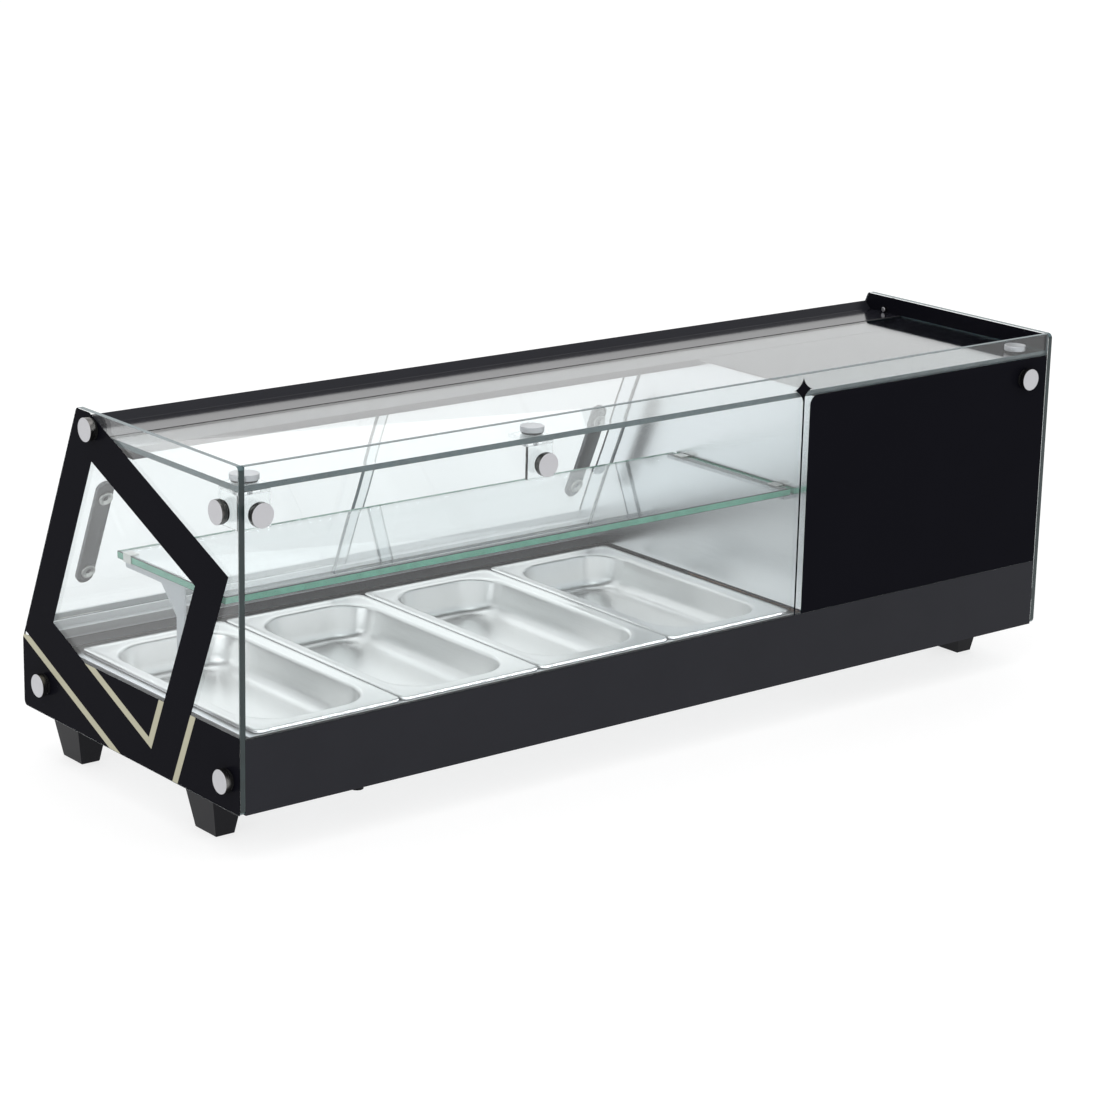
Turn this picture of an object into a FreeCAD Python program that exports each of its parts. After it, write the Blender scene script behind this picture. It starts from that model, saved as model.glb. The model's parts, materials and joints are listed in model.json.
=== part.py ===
"""Countertop refrigerated deli case: a glazed, cooled display with four drop-in pans,
one glass shelf, sliding rear doors and a machine compartment at its right-hand end.

Millimetres. X runs along the case, +Y points to the server's side, +Z is up, and the
origin is at the middle of the case's footprint on the counter."""
import FreeCAD, Part
import math
import os
import re
import Sketcher

doc = FreeCAD.newDocument("deli_case")
V = FreeCAD.Vector

SIZES = {
    # outline of the case
    "length": 1120, "depth": 418, "height": 400, "knee": 125, "tilt": 23.7, "glass": 6,
    "corner": 6, "gap": 0.3, "sheet_gauge": 1.2, "foot_height": 50, "base_top": 127.5,
    # base: black shell, stainless well, foam
    "lip": 8, "rear_deck": 60, "wall_back": 4, "display_end": 187, "machine_start": 225,
    "machine_margin": 14, "liner_top": 120.7, "liner_gauge": 1, "well_left": -521,
    "well_right": 181, "well_front": -172, "well_rear": 142, "well_floor": 63, "foam_low": 52,
    "foam_gap": 1.5, "floor_gauge": 1.5,
    # pans
    "pan_length": 325, "pan_width": 176, "pan_pitch": 178.5, "pan_one": -438, "pan_middle": -15.5,
    "pan_top": 125, "pan_depth": 40, "pan_skirt": 4, "pan_gauge": 1, "pan_flange": 15,
    "pan_flange_end": 17, "pan_corner": 8, "well_corner": 44, "well_taper": 7, "pan_foot": 11,
    "bar_half": 4, "bar_deep": 3,
    # cold coil and drain
    "coil_tube": 4, "coil_height": 71, "coil_rows": 6, "coil_pitch": 50, "coil_end": 40,
    "drain_across": -377, "drain_along": -141, "drain_low": 22, "drain_radius": 7, "drain_bore": 4.5,
    "drain_neck": 6, "drain_hose": 26,
    # feet
    "foot_across": 527, "foot_front": -107, "foot_rear": 153, "foot_toe": 11, "foot_toe_long": 19,
    "foot_top": 20, "foot_top_long": 27, "screw_radius": 2.5, "screw_head": 4.5, "screw_rise": 2.6,
    "screw_deep": 20, "screw_play": 0.2,
    # glazing hardware
    "roof": 374, "roof_rear": 34, "cap_radius": 12.5, "cap_stand": 10, "washer_radius": 11,
    "washer_thick": 3, "top_cap_stand": 8, "top_washer": 2, "pin_radius": 3, "pin_hole": 3.3,
    "pin_deep": 4.5, "cap_height": 352, "cap_back": 21, "cap_side": 26, "cap_in": 15,
    "cap_left": -539, "cap_middle": -193, "cap_right": 518, "beam_cap": 62, "beam_cap_height": 383.6,
    "knee_cap": 169, "knee_cap_height": 84.5, "toe_cap_height": 82, "toe_cap": -182,
    "bracket": 4, "bracket_leg": 33, "bracket_drop": 38,
    # rear beam over the doors
    "beam_gauge": 1.5, "beam_nose": -10, "beam_low": 366, "gasket": 3, "beam_top": 380,
    "rim_foot": 88, "rim_peak": 97.6, "rim_top": 388.6, "beam_foot": 84.6, "beam_heel": 103.6,
    "beam_heel_height": 374.5,
    # sliding doors, measured in the leaning plane of the back
    "door_glass": 5, "door_low": 25, "door_high": 266, "outer_door": -12.25, "inner_door": -26.75,
    "left_door_start": -551, "left_door_end": -160, "right_door_start": -184, "right_door_end": 186.5,
    "track_wide": 31, "track_start": 18, "track_rib": 2, "track_floor": 3, "track_tall": 12,
    "track_high_low": 256, "track_high_end": 272, "track_end": 187.5,
    "glide_long": 50, "glide_thick": 3.4, "glide_wide": 8, "glide_in": 30,
    "handle_long": 131, "handle_wide": 20, "handle_thick": 4.5, "handle_middle": 136,
    "left_handle": -503, "right_handle": 146, "handle_bolt": 48, "bolt_radius": 2.5,
    "bolt_washer": 8, "bolt_head": 2,
    # shelf
    "shelf_top": 263, "shelf_glass": 8, "shelf_front": -169, "shelf_rear": 30, "shelf_left": -549.5,
    "shelf_right": 185, "arm_drop": 8, "post_front": -88, "post_wide": 14, "post_thick": 3, "clip_long": 14,
    "clip_wall": 1.5, "clip_reach": 9,
    # front light strip
    "led_front": -195.6, "led_deep": 5, "led_low": 121, "led_high": 126, "led_step": 15,
    "led_wide": 4, "led_proud": 1, "led_tall": 2.4, "led_count": 48,
    # partition and machine compartment
    "partition": 188, "partition_skin": 1, "partition_thick": 20, "partition_low": 127.8,
    "partition_high": 372, "cover_low": 372.2, "cover_high": 373.5, "hatch_gauge": 1.5,
    "louvre_wide": 5, "louvre_pitch": 13, "louvre_count": 8,
    # condensing unit
    "pot_across": 440, "pot_along": 55, "pot_radius": 58, "pot_low": 66, "pot_high": 196,
    "pot_dome": 34, "mount_radius": 9, "mount_low": 51.5, "plate_thick": 3, "plate_long": 75,
    "plate_wide": 50, "mount_across": 62, "mount_along": 38,
    "fan_across": 345, "fan_up": 165, "fan_radius": 76, "fan_hub": 20, "fan_start": -128,
    "fan_deep": 20, "blade_count": 5, "blade_twist": 32, "blade_thick": 1.6,
    "shroud_half": 98, "shroud_hole": 82, "shroud_start": -136, "shroud_thick": 2,
    "motor_radius": 30, "motor_start": -100, "motor_end": -62, "shaft_radius": 3, "shaft_play": 0.06,
    "arm_thick": 4, "arm_half": 6,
    "condenser_front": -178, "condenser_rear": -140, "fin_pitch": 12, "fin_thick": 1.2,
    "condenser_half": 96, "row_pitch": 24, "row_radius": 4, "row_count": 8,
    "pipe_radius": 4, "drier_radius": 10, "drier_long": 90,
    "drier_back": 20, "pipe_rise": 50, "pipe_turn": 60, "pipe_bend": 12, "gas_end": 30,
    "liquid_drop": 60, "liquid_end": 10,
    # controls on the compartment's back
    "fascia_across": 385, "fascia_half": 70, "fascia_low": 205, "fascia_high": 245,
    "fascia_proud": 2, "fascia_deep": 22, "screen_middle": -20, "screen_half": 19, "screen_tall": 9,
    "screen_deep": 0.8, "fascia_seat": 0.2, "box_inset": 5, "window_inset": 4,
    "button_first": 14, "button_radius": 4, "button_pitch": 12, "button_play": 0.4,
    "button_proud": 1.2, "button_deep": 6, "button_travel": 1.5,
    "rocker_across": 56, "rocker_half": 6.5, "rocker_tall": 9.5, "rocker_play": 0.7,
    "rocker_back": 4, "rocker_high": 2.5, "rocker_waist": 0.6, "rocker_flush": 0.2,
    "inlet_across": 500, "inlet_height": 90, "inlet_half": 15, "inlet_tall": 11, "inlet_deep": 22,
    "inlet_proud": 1.5, "inlet_wall": 3, "inlet_floor": 5, "inlet_pin": 2, "inlet_pitch": 7,
    "inlet_pin_deep": 4,
}
sheet = doc.addObject("Spreadsheet::Sheet", "Sizes")
for row, (alias, number) in enumerate(SIZES.items(), 1):
    sheet.set(f"A{row}", alias)
    sheet.set(f"B{row}", str(number))
    sheet.setAlias(f"B{row}", alias)
doc.recompute()

# places worked out from the sizes
FRONT = "((cap_stand-depth)/2)"
REAR = f"({FRONT}+depth)"
CROWN = f"({REAR}-(height-knee)*tan(tilt))"
INSIDE = "(length/2-glass)"
SIDE = f"({INSIDE}-gap)"
BACK_OF_GLASS = f"({FRONT}+glass)"
BASE_REAR = f"({REAR}-wall_back)"
NO_TURN = FreeCAD.Rotation()
TURN = {"x": FreeCAD.Rotation(V(0, 1, 0), 90), "y": FreeCAD.Rotation(V(1, 0, 0), -90), "z": NO_TURN}

parts = {}


def linked(text):
    """The expression with each size's name pointed at its cell."""
    return re.sub(r"[a-z][a-z_]*", lambda word: f"Sizes.{word[0]}" if word[0] in SIZES else word[0],
                  str(text))


def value(text):
    return float(sheet.evalExpression(linked(text)))


def bind(piece, setting, text):
    piece.setExpression(setting, linked(text))


def place(piece, across="0", along="0", up="0"):
    for axis, text in zip("xyz", (across, along, up)):
        bind(piece, f"Placement.Base.{axis}", text)
    return piece


def node(name, piece):
    """Names a finished sub-part."""
    piece.Label = name
    parts[name] = piece
    return piece


def block(name, across, along, up):
    """Box between a low and a high place on each axis."""
    box = doc.addObject("Part::Box", name)
    for setting, (low, high) in zip(("Length", "Width", "Height"), (across, along, up)):
        bind(box, setting, f"({high})-({low})")
    return place(box, across[0], along[0], up[0])


def rod(name, radius, start, axis, long):
    """Cylinder from a point, towards +x, +y or +z."""
    cylinder = doc.addObject("Part::Cylinder", name)
    bind(cylinder, "Radius", radius)
    bind(cylinder, "Height", long)
    cylinder.Placement = FreeCAD.Placement(V(), TURN[axis])
    return place(cylinder, *start)


def join(name, pieces):
    union = doc.addObject("Part::MultiFuse", name)
    union.Shapes = pieces
    return union


def cut(name, base, tools):
    """The base without the tools."""
    result = doc.addObject("Part::Cut", name)
    result.Base = base
    result.Tool = tools[0] if len(tools) == 1 else join(f"{name}_tools", tools)
    return result


def lean(piece, across="0"):
    """Lays a piece drawn upright at the origin into the leaning plane of the back."""
    piece.Placement = FreeCAD.Placement(V(), FreeCAD.Rotation(V(1, 0, 0), 1))
    bind(piece, "Placement.Rotation.Angle", "tilt")
    return place(piece, across, REAR, "knee")


def origin_plane(body, role):
    return next(feature for feature in body.Origin.OriginFeatures if feature.Role == role)


def sketch_on(body, role):
    sketch = body.newObject("Sketcher::SketchObject", f"{body.Name}_sketch")
    sketch.AttachmentSupport = [(origin_plane(body, role), "")]
    sketch.MapMode = "FlatFace"
    return sketch


def pin_point(sketch, item, vertex, point):
    """Dimensions one point of the sketch from its origin."""
    for kind, text in zip(("DistanceX", "DistanceY"), point):
        index = sketch.addConstraint(Sketcher.Constraint(kind, -1, 1, item, vertex, value(text)))
        sketch.setExpression(f"Constraints[{index}]", linked(text))


def draw_loop(sketch, points):
    first = sketch.GeometryCount
    spots = [V(value(one), value(two), 0) for one, two in points]
    for spot, following in zip(spots, spots[1:] + spots[:1]):
        sketch.addGeometry(Part.LineSegment(spot, following), False)
    for step, point in enumerate(points):
        following = first + (step + 1) % len(points)
        sketch.addConstraint(Sketcher.Constraint("Coincident", first + step, 2, following, 1))
        pin_point(sketch, first + step, 1, point)


def draw_circle(sketch, one, two, radius):
    centre = V(value(one), value(two), 0)
    index = sketch.addGeometry(Part.Circle(centre, V(0, 0, 1), value(radius)), False)
    pin_point(sketch, index, 3, (one, two))
    number = sketch.addConstraint(Sketcher.Constraint("Radius", index, value(radius)))
    sketch.setExpression(f"Constraints[{number}]", linked(radius))


def pad(name, role, loops, circles, long):
    """PartDesign body with one padded sketch."""
    body = doc.addObject("PartDesign::Body", name)
    sketch = sketch_on(body, role)
    for points in loops:
        draw_loop(sketch, points)
    for circle in circles:
        draw_circle(sketch, *circle)
    feature = body.newObject("PartDesign::Pad", f"{name}_pad")
    feature.Profile = sketch
    bind(feature, "Length", long)
    return body


def profile(name, loops, across, circles=()):
    """Section in the YZ plane, run along X between two places."""
    body = pad(name, "YZ_Plane", loops, circles, f"({across[1]})-({across[0]})")
    return place(body, across[0])


def soften(body, radius, chosen):
    """Fillets the edges that chosen() picks on the body's last feature."""
    doc.recompute()
    base = body.Tip
    edges = [f"Edge{count}" for count, edge in enumerate(base.Shape.Edges, 1) if chosen(edge)]
    fillet = body.newObject("PartDesign::Fillet", f"{body.Name}_fillet")
    fillet.Base = (base, edges)
    bind(fillet, "Radius", radius)
    return body


def runs_along(edge, axis):
    """True for a straight edge along an axis of the body."""
    ends = edge.Vertexes[-1].Point - edge.Vertexes[0].Point
    return edge.Curve.TypeId == "Part::GeomLine" and abs(ends.getAngle(axis) % math.pi) < 0.01


def rectangle(low, high):
    return [(low[0], low[1]), (high[0], low[1]), (high[0], high[1]), (low[0], high[1])]


def pipe(name, points, bend, radius):
    """Round tube along straight runs joined by tangent arcs."""
    spots = [V(*point) for point in points]
    edges = []
    start = spots[0]
    for before, corner, after in zip(spots, spots[1:], spots[2:]):
        into = (before - corner).normalize()
        out = (after - corner).normalize()
        half = into.getAngle(out) / 2
        reach = bend / math.tan(half)
        middle = corner + (into + out).normalize() * (bend / math.sin(half) - bend)
        arc_start = corner + into * reach
        arc_end = corner + out * reach
        if (arc_start - start).Length > 1e-6:
            edges.append(Part.LineSegment(start, arc_start).toShape())
        edges.append(Part.Arc(arc_start, middle, arc_end).toShape())
        start = arc_end
    edges.append(Part.LineSegment(start, spots[-1]).toShape())
    wire = Part.Wire(edges)
    ring = Part.Wire(Part.Circle(spots[0], spots[1] - spots[0], radius).toShape())
    tube = doc.addObject("Part::Feature", name)
    tube.Shape = wire.makePipeShell([ring], True, True)
    return tube


def base():
    """Black sheet-metal shell with a top plate cut out over the well and the machinery."""
    inner = f"({SIDE}-sheet_gauge)"
    outer = block("shell_outer", (f"-{SIDE}", SIDE), (FRONT, BASE_REAR), ("foot_height", "base_top"))
    hollow = block("shell_hollow", (f"-{inner}", inner),
                   (f"{FRONT}+sheet_gauge", f"{BASE_REAR}-sheet_gauge"),
                   ("foot_height", "base_top-sheet_gauge"))
    display = block("shell_display", (f"-{SIDE}+lip", "display_end"),
                    (f"{FRONT}+lip", f"{BASE_REAR}-rear_deck"), ("foot_height", "base_top"))
    machine = block("shell_machine", ("machine_start", f"{SIDE}-lip"),
                    (f"{FRONT}+machine_margin", f"{BASE_REAR}-machine_margin"), ("foot_height", "base_top"))
    low_caps = (("knee_cap", "knee_cap_height"), ("toe_cap", "toe_cap_height"))
    ends = [rod(f"shell_hole_{count}", "pin_hole", (f"-{SIDE}", along, up), "x", f"2*{SIDE}")
            for count, (along, up) in enumerate(low_caps)]
    socket = block("shell_socket", ("inlet_across-inlet_half-gap", "inlet_across+inlet_half+gap"),
                   (f"{BASE_REAR}-rear_deck", REAR),
                   ("inlet_height-inlet_tall-gap", "inlet_height+inlet_tall+gap"))
    node("base_shell", cut("base_shell", outer, [hollow, display, machine, socket] + ends))


def feet_at():
    for side, across in (("left", "-foot_across"), ("right", "foot_across")):
        for end, along in (("front", "foot_front"), ("rear", "foot_rear")):
            yield f"foot_{end}_{side}", across, along


def bottom_cover():
    """Floor plate with air slots under the machinery, screw holes and the drain's hole."""
    edge = f"({SIDE}-sheet_gauge-gap)"
    plate = block("cover_plate", (f"-{edge}", edge),
                  (f"{FRONT}+sheet_gauge+gap", f"{BASE_REAR}-sheet_gauge-gap"),
                  ("foot_height", "foot_height+floor_gauge"))
    holes = [rod(f"cover_hole_{name}", "screw_radius+screw_play", (across, along, "foot_height"), "z",
                 "floor_gauge") for name, across, along in feet_at()]
    holes.append(rod("cover_drain", "drain_radius+gap", ("drain_across", "drain_along", "foot_height"),
                     "z", "floor_gauge"))
    starts = [f"condenser_front+{row}*louvre_pitch" for row in range(4)]
    slots = [block(f"cover_slot_{row}", ("fan_across-shroud_half", "fan_across+shroud_half"),
                   (start, f"{start}+louvre_wide"), ("foot_height", "foot_height+floor_gauge"))
             for row, start in enumerate(starts)]
    node("base_bottom_cover", cut("base_bottom_cover", plate, holes + slots))


def foam():
    """Insulation boards round the well, and the slab inside the partition."""
    left = f"(-{SIDE}+sheet_gauge+foam_gap+pin_deep)"
    front = f"({FRONT}+sheet_gauge+foam_gap)"
    rear = f"({BASE_REAR}-sheet_gauge-foam_gap)"
    walls = ("well_floor", "liner_top-liner_gauge-gap")
    drain = rod("foam_drain", "drain_radius+gap", ("drain_across", "drain_along", "foam_low"), "z",
                "well_floor-foam_low")
    floor = block("foam_floor", (left, "display_end"), (front, rear),
                  ("foam_low+screw_rise", "well_floor-gap"))
    boards = [cut("foam_floor_board", floor, [drain]),
              block("foam_front", (left, "display_end"), (front, "well_front-gap"), walls),
              block("foam_rear", (left, "display_end"), ("well_rear+gap", rear), walls),
              block("foam_left", (left, "well_left-gap"), ("well_front", "well_rear"), walls),
              block("foam_right", ("well_right+gap", "display_end"), ("well_front", "well_rear"), walls),
              profile("foam_slab", [partition_outline()],
                      ("partition+partition_skin+gap", "partition+partition_thick"))]
    node("insulation_foam", join("insulation_foam", boards))


def leaning(up, inset):
    """Place along Y of a plane parallel to the back, inset from it, at a height."""
    return f"({REAR}-({up}-knee)*tan(tilt)-({inset})/cos(tilt))"


def partition_outline():
    front = f"{BACK_OF_GLASS}+gap"
    behind = "4*gap+hatch_gauge"
    return [(front, "partition_low"), (leaning("partition_low", behind), "partition_low"),
            (leaning("beam_low-gap", behind), "beam_low-gap"), ("beam_nose-gap", "beam_low-gap"),
            ("beam_nose-gap", "partition_high"), (front, "partition_high")]


def well():
    """Stainless tub with a wide flange that the pans rest on."""
    rim = block("well_rim", (f"-{SIDE}+sheet_gauge+gap", "display_end-gap"),
                (f"{FRONT}+sheet_gauge+gap", f"{BASE_REAR}-sheet_gauge-gap"),
                ("liner_top-liner_gauge", "liner_top"))
    tub = block("well_tub", ("well_left", "well_right"), ("well_front", "well_rear"),
                ("well_floor", "liner_top"))
    hollow = block("well_hollow", ("well_left+liner_gauge", "well_right-liner_gauge"),
                   ("well_front+liner_gauge", "well_rear-liner_gauge"),
                   ("well_floor+liner_gauge", "liner_top"))
    drain = rod("well_drain", "drain_radius+gap", ("drain_across", "drain_along", "well_floor"), "z",
                "liner_gauge")
    node("well_liner", cut("well_liner", join("well_sheet", [rim, tub]), [hollow, drain]))
    partition = profile("partition_liner", [partition_outline()],
                        ("partition", "partition+partition_skin"))
    node("partition_liner", partition)


def crossbars():
    """Bars across the well, one under each joint between two pans."""
    bars = []
    for joint in range(3):
        middle = f"pan_one+{joint}*pan_pitch+pan_pitch/2"
        bars.append(block(f"crossbar_{joint}", (f"{middle}-bar_half", f"{middle}+bar_half"),
                          ("well_front+liner_gauge", "well_rear-liner_gauge"),
                          ("liner_top-bar_deep", "liner_top")))
    node("pan_crossbars", join("pan_crossbars", bars))


def tray_form(name, inset, low, high):
    """Tapered, round-cornered form of a pan's bowl, drawn about the pan's middle."""
    half_wide = f"(pan_width/2-pan_flange-{inset})"
    half_long = f"(pan_length/2-pan_flange_end-{inset})"
    outline = rectangle((f"-{half_wide}", f"-{half_long}"), (half_wide, half_long))
    body = pad(name, "XY_Plane", [outline], [], f"({high})-({low})")
    body.Group[-1].Reversed = True
    bind(body.Group[-1], "TaperAngle", "-well_taper")
    soften(body, f"well_corner-{inset}", lambda edge: abs(edge.BoundBox.ZLength) > 1)
    soften(body, f"pan_foot-{inset}", lambda edge: edge.BoundBox.ZMax < edge.Vertexes[0].Z + 0.01
           and edge.BoundBox.ZMax < -value(f"({high})-({low})") + 0.01)
    return place(body, up=high)


def pans():
    """Four gastronorm pans: a pressed bowl under a flange with a turned-down edge."""
    for number in range(1, 5):
        name = f"pan_{number}"
        flange = pad(f"{name}_flange", "XY_Plane", [rectangle(("-pan_width/2", "-pan_length/2"),
                     ("pan_width/2", "pan_length/2"))], [], "pan_skirt")
        soften(flange, "pan_corner", lambda edge: abs(edge.BoundBox.ZLength) > 1)
        place(flange, up="pan_top-pan_skirt")
        under = pad(f"{name}_under", "XY_Plane", [rectangle(("-pan_width/2+pan_gauge",
                    "-pan_length/2+pan_gauge"), ("pan_width/2-pan_gauge", "pan_length/2-pan_gauge"))], [],
                    "pan_skirt-pan_gauge")
        soften(under, "pan_corner-pan_gauge", lambda edge: abs(edge.BoundBox.ZLength) > 1)
        place(under, up="pan_top-pan_skirt")
        bowl = tray_form(f"{name}_bowl", "0", "pan_top-pan_depth", "pan_top")
        space = tray_form(f"{name}_space", "pan_gauge", "pan_top-pan_depth+pan_gauge", "pan_top")
        shell = join(f"{name}_shell", [cut(f"{name}_rim", flange, [under]), bowl])
        pan = node(name, cut(name, shell, [space]))
        place(pan, f"pan_one+{number - 1}*pan_pitch", "pan_middle")


def cold_coil():
    """Serpentine evaporator tube on the floor of the well, under the pans."""
    left = value("well_left+coil_end")
    right = value("well_right-coil_end")
    start = value("pan_middle-(coil_rows-1)*coil_pitch/2")
    up = value("coil_height")
    points = []
    for row in range(int(value("coil_rows"))):
        along = start + row * value("coil_pitch")
        ends = (right, left) if row % 2 == 0 else (left, right)
        points += [(end, along, up) for end in ends]
    node("evaporator_coil", pipe("evaporator_coil", points, value("coil_pitch") / 2 - 1, value("coil_tube")))


def drain():
    """Drain spout from the well's floor to below the case, necked above the hose's seat."""
    start = ("drain_across", "drain_along", "drain_low")
    neck = rod("drain_middle", "drain_neck", start, "z", "well_floor-drain_low")
    hose = rod("drain_hose_seat", "drain_radius", start, "z", "drain_hose")
    upper = rod("drain_upper", "drain_radius", ("drain_across", "drain_along", "foot_height"), "z",
                "well_floor-foot_height")
    bore = rod("drain_bore_space", "drain_bore", start, "z", "well_floor-drain_low")
    node("drain_spout", cut("drain_spout", join("drain_pipe", [neck, hose, upper]), [bore]))


def feet():
    """Four tapered moulded feet, each with a screw down through the floor plate."""
    for name, across, along in feet_at():
        leg = doc.addObject("Part::Wedge", f"{name}_leg")
        limits = {"Xmin": "-foot_toe", "Xmax": "foot_toe", "Zmin": "-foot_toe_long", "Zmax": "foot_toe_long",
                  "X2min": "-foot_top", "X2max": "foot_top", "Z2min": "-foot_top_long",
                  "Z2max": "foot_top_long", "Ymin": "0", "Ymax": "foot_height"}
        for setting, text in limits.items():
            bind(leg, setting, text)
        leg.Placement = FreeCAD.Placement(V(), FreeCAD.Rotation(V(1, 0, 0), 90))
        hole = rod(f"{name}_hole", "screw_radius+screw_play", ("0", "0", "foot_height-screw_deep"), "z",
                   "screw_deep")
        place(node(name, cut(name, leg, [hole])), across, along)


def screw(name, across, along, up):
    """Round-headed screw with its head upwards."""
    head = rod(f"{name}_head", "screw_head", (across, along, up), "z", "screw_rise")
    shank = rod(f"{name}_shank", "screw_radius", (across, along, f"{up}-screw_deep+floor_gauge"), "z",
                "screw_deep-floor_gauge")
    return [head, shank]


def screws():
    """Foot screws, seated on the floor plate."""
    pieces = []
    for name, across, along in feet_at():
        pieces += screw(f"{name}_screw", across, along, "foot_height+floor_gauge")
    node("foot_screws", join("foot_screws", pieces))


CAP_ROW = ("cap_left", "cap_middle", "cap_right")
END_CAPS = (("beam_cap", "beam_cap_height"), ("knee_cap", "knee_cap_height"),
            ("toe_cap", "toe_cap_height"), (f"{FRONT}+cap_side", "cap_height"))
TOP_CAP = f"({FRONT}+cap_back)"


def glazing():
    """End panes, front pane and roof pane, drilled for their caps."""
    outline = [(FRONT, "foot_height"), (REAR, "foot_height"), (REAR, "knee"), (CROWN, "height"),
               (FRONT, "height")]
    holes = [(along, up, "pin_hole") for along, up in END_CAPS]
    for side, across in (("left", ("-length/2", f"-{INSIDE}")), ("right", (INSIDE, "length/2"))):
        pane = profile(f"{side}_end_glass", [outline], across, holes)
        soften(pane, "corner", lambda edge: runs_along(edge, V(1, 0, 0)))
        node(f"{side}_end_glass", pane)
    front = block("front_pane", (f"-{SIDE}", SIDE), (FRONT, BACK_OF_GLASS), ("base_top", "height"))
    holes = [rod(f"front_hole_{count}", "pin_hole", (across, FRONT, "cap_height"), "y", "glass")
             for count, across in enumerate(CAP_ROW)]
    node("front_glass", cut("front_glass", front, holes))
    roof = block("roof_pane", (f"-{SIDE}", SIDE), (f"{BACK_OF_GLASS}+gap", "roof_rear"),
                 ("roof", "roof+glass"))
    holes = [rod(f"roof_hole_{count}", "pin_hole", (across, TOP_CAP, "roof"), "z", "glass")
             for count, across in enumerate(CAP_ROW)]
    node("top_glass", cut("top_glass", roof, holes))


def cap(name, surface, axis, outward, stand, washer):
    """Round cap with its pin through the pane. The place along the axis is the pane's face."""
    place_of = dict(zip("xyz", surface))
    face = place_of[axis]
    pin_long = "(glass+pin_deep)"

    def from_low(low):
        place_of[axis] = low
        return tuple(place_of[letter] for letter in "xyz")

    disc = f"({stand}-{washer})"
    if outward > 0:
        head = rod(f"{name}_head", "cap_radius", from_low(f"{face}+{washer}"), axis, disc)
        pin = rod(f"{name}_pin", "pin_radius", from_low(f"{face}-{pin_long}"), axis, f"{pin_long}+{washer}")
        ring_start = face
    else:
        head = rod(f"{name}_head", "cap_radius", from_low(f"{face}-{stand}"), axis, disc)
        pin = rod(f"{name}_pin", "pin_radius", from_low(f"{face}-{washer}"), axis, f"{pin_long}+{washer}")
        ring_start = f"{face}-{washer}"
    ring = rod(f"{name}_ring", "washer_radius", from_low(ring_start), axis, washer)
    ring_hole = rod(f"{name}_ring_hole", "pin_hole", from_low(ring_start), axis, washer)
    return [head, pin], cut(f"{name}_washer", ring, [ring_hole])


def caps():
    """Round caps that hold the panes, each on a dark washer."""
    washers = []
    rows = {
        "left_caps": ([("-length/2", along, up) for along, up in END_CAPS], "x", -1),
        "right_caps": ([("length/2", along, up) for along, up in END_CAPS], "x", 1),
        "front_caps": ([(across, FRONT, "cap_height") for across in CAP_ROW], "y", -1),
        "top_caps": ([(across, TOP_CAP, "roof+glass") for across in CAP_ROW], "z", 1),
    }
    for name, (places, axis, outward) in rows.items():
        metal = []
        size = ("top_cap_stand", "top_washer") if axis == "z" else ("cap_stand", "washer_thick")
        for count, surface in enumerate(places):
            solid, washer = cap(f"{name}_{count}", surface, axis, outward, *size)
            metal += solid
            washers.append(washer)
        node(name, join(name, metal))
    node("cap_washers", join("cap_washers", washers))


def glass_brackets():
    """Clear angle pieces inside the panes: one at each front corner and one between."""
    back = f"{BACK_OF_GLASS}+gap"
    under = "roof-gap"
    pieces = []
    for count, (low, high) in enumerate(((f"-{SIDE}", f"-{SIDE}+bracket_leg"),
                                         ("cap_middle-bracket_leg/2", "cap_middle+bracket_leg/2"),
                                         (f"{SIDE}-bracket_leg-cap_in", SIDE))):
        legs = [block(f"bracket_{count}_front", (low, high), (back, f"{back}+bracket"),
                      (f"{under}-bracket_drop", under)),
                block(f"bracket_{count}_roof", (low, high), (back, f"{back}+bracket_leg"),
                      (f"{under}-bracket", under))]
        if count == 0:
            legs.append(block("bracket_left_side", (low, f"{low}+bracket"), (back, f"{back}+bracket_leg"),
                              (f"{under}-bracket_drop", under)))
        if count == 2:
            legs.append(block("bracket_right_side", (f"{high}-bracket", high), (back, f"{back}+bracket_leg"),
                              (f"{under}-bracket_drop", under)))
        pieces.append(join(f"bracket_{count}", legs))
    holes = []
    for count, across in enumerate(CAP_ROW):
        holes.append(rod(f"bracket_front_hole_{count}", "pin_hole", (across, FRONT, "cap_height"), "y",
                         "glass*2"))
        holes.append(rod(f"bracket_top_hole_{count}", "pin_hole", (across, TOP_CAP, "roof-glass"), "z",
                         "glass*2"))
    holes.append(rod("bracket_side_hole", "pin_hole", ("-length/2", f"{FRONT}+cap_side", "cap_height"), "x",
                     "length"))
    node("glass_brackets", cut("glass_brackets", join("bracket_set", pieces), holes))


def rear_beam():
    """Folded beam across the top of the back: a ledge under the roof pane, a flat top flush with
    it and a raised rim. It carries the doors' upper track."""
    step = "roof_rear+gasket"
    skin = "beam_gauge"
    outer = [("beam_nose", "beam_low"), ("beam_foot", "beam_low"), ("beam_heel", "beam_heel_height"),
             ("rim_peak", "rim_top"), ("rim_peak-1", "rim_top"), ("rim_foot", "beam_top"),
             (step, "beam_top"), (step, "roof-gap"), ("beam_nose", "roof-gap")]
    inner = [(f"beam_nose+{skin}", f"beam_low+{skin}"), (f"beam_foot-{skin}/3", f"beam_low+{skin}"),
             (f"beam_heel-{skin}*1.4", f"beam_heel_height+{skin}/3"),
             (f"rim_peak-{skin}", f"rim_top-{skin}*1.8"), (f"rim_foot+{skin}/2", f"beam_top-{skin}"),
             (f"{step}+{skin}", f"beam_top-{skin}"), (f"{step}+{skin}", f"roof-gap-{skin}"),
             (f"beam_nose+{skin}", f"roof-gap-{skin}")]
    node("rear_top_beam", profile("rear_top_beam", [outer, inner], (f"-{SIDE}", SIDE)))
    node("top_gasket", block("top_gasket", (f"-{SIDE}", SIDE), ("roof_rear", step),
                             ("roof", "beam_top-gap")))


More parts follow.
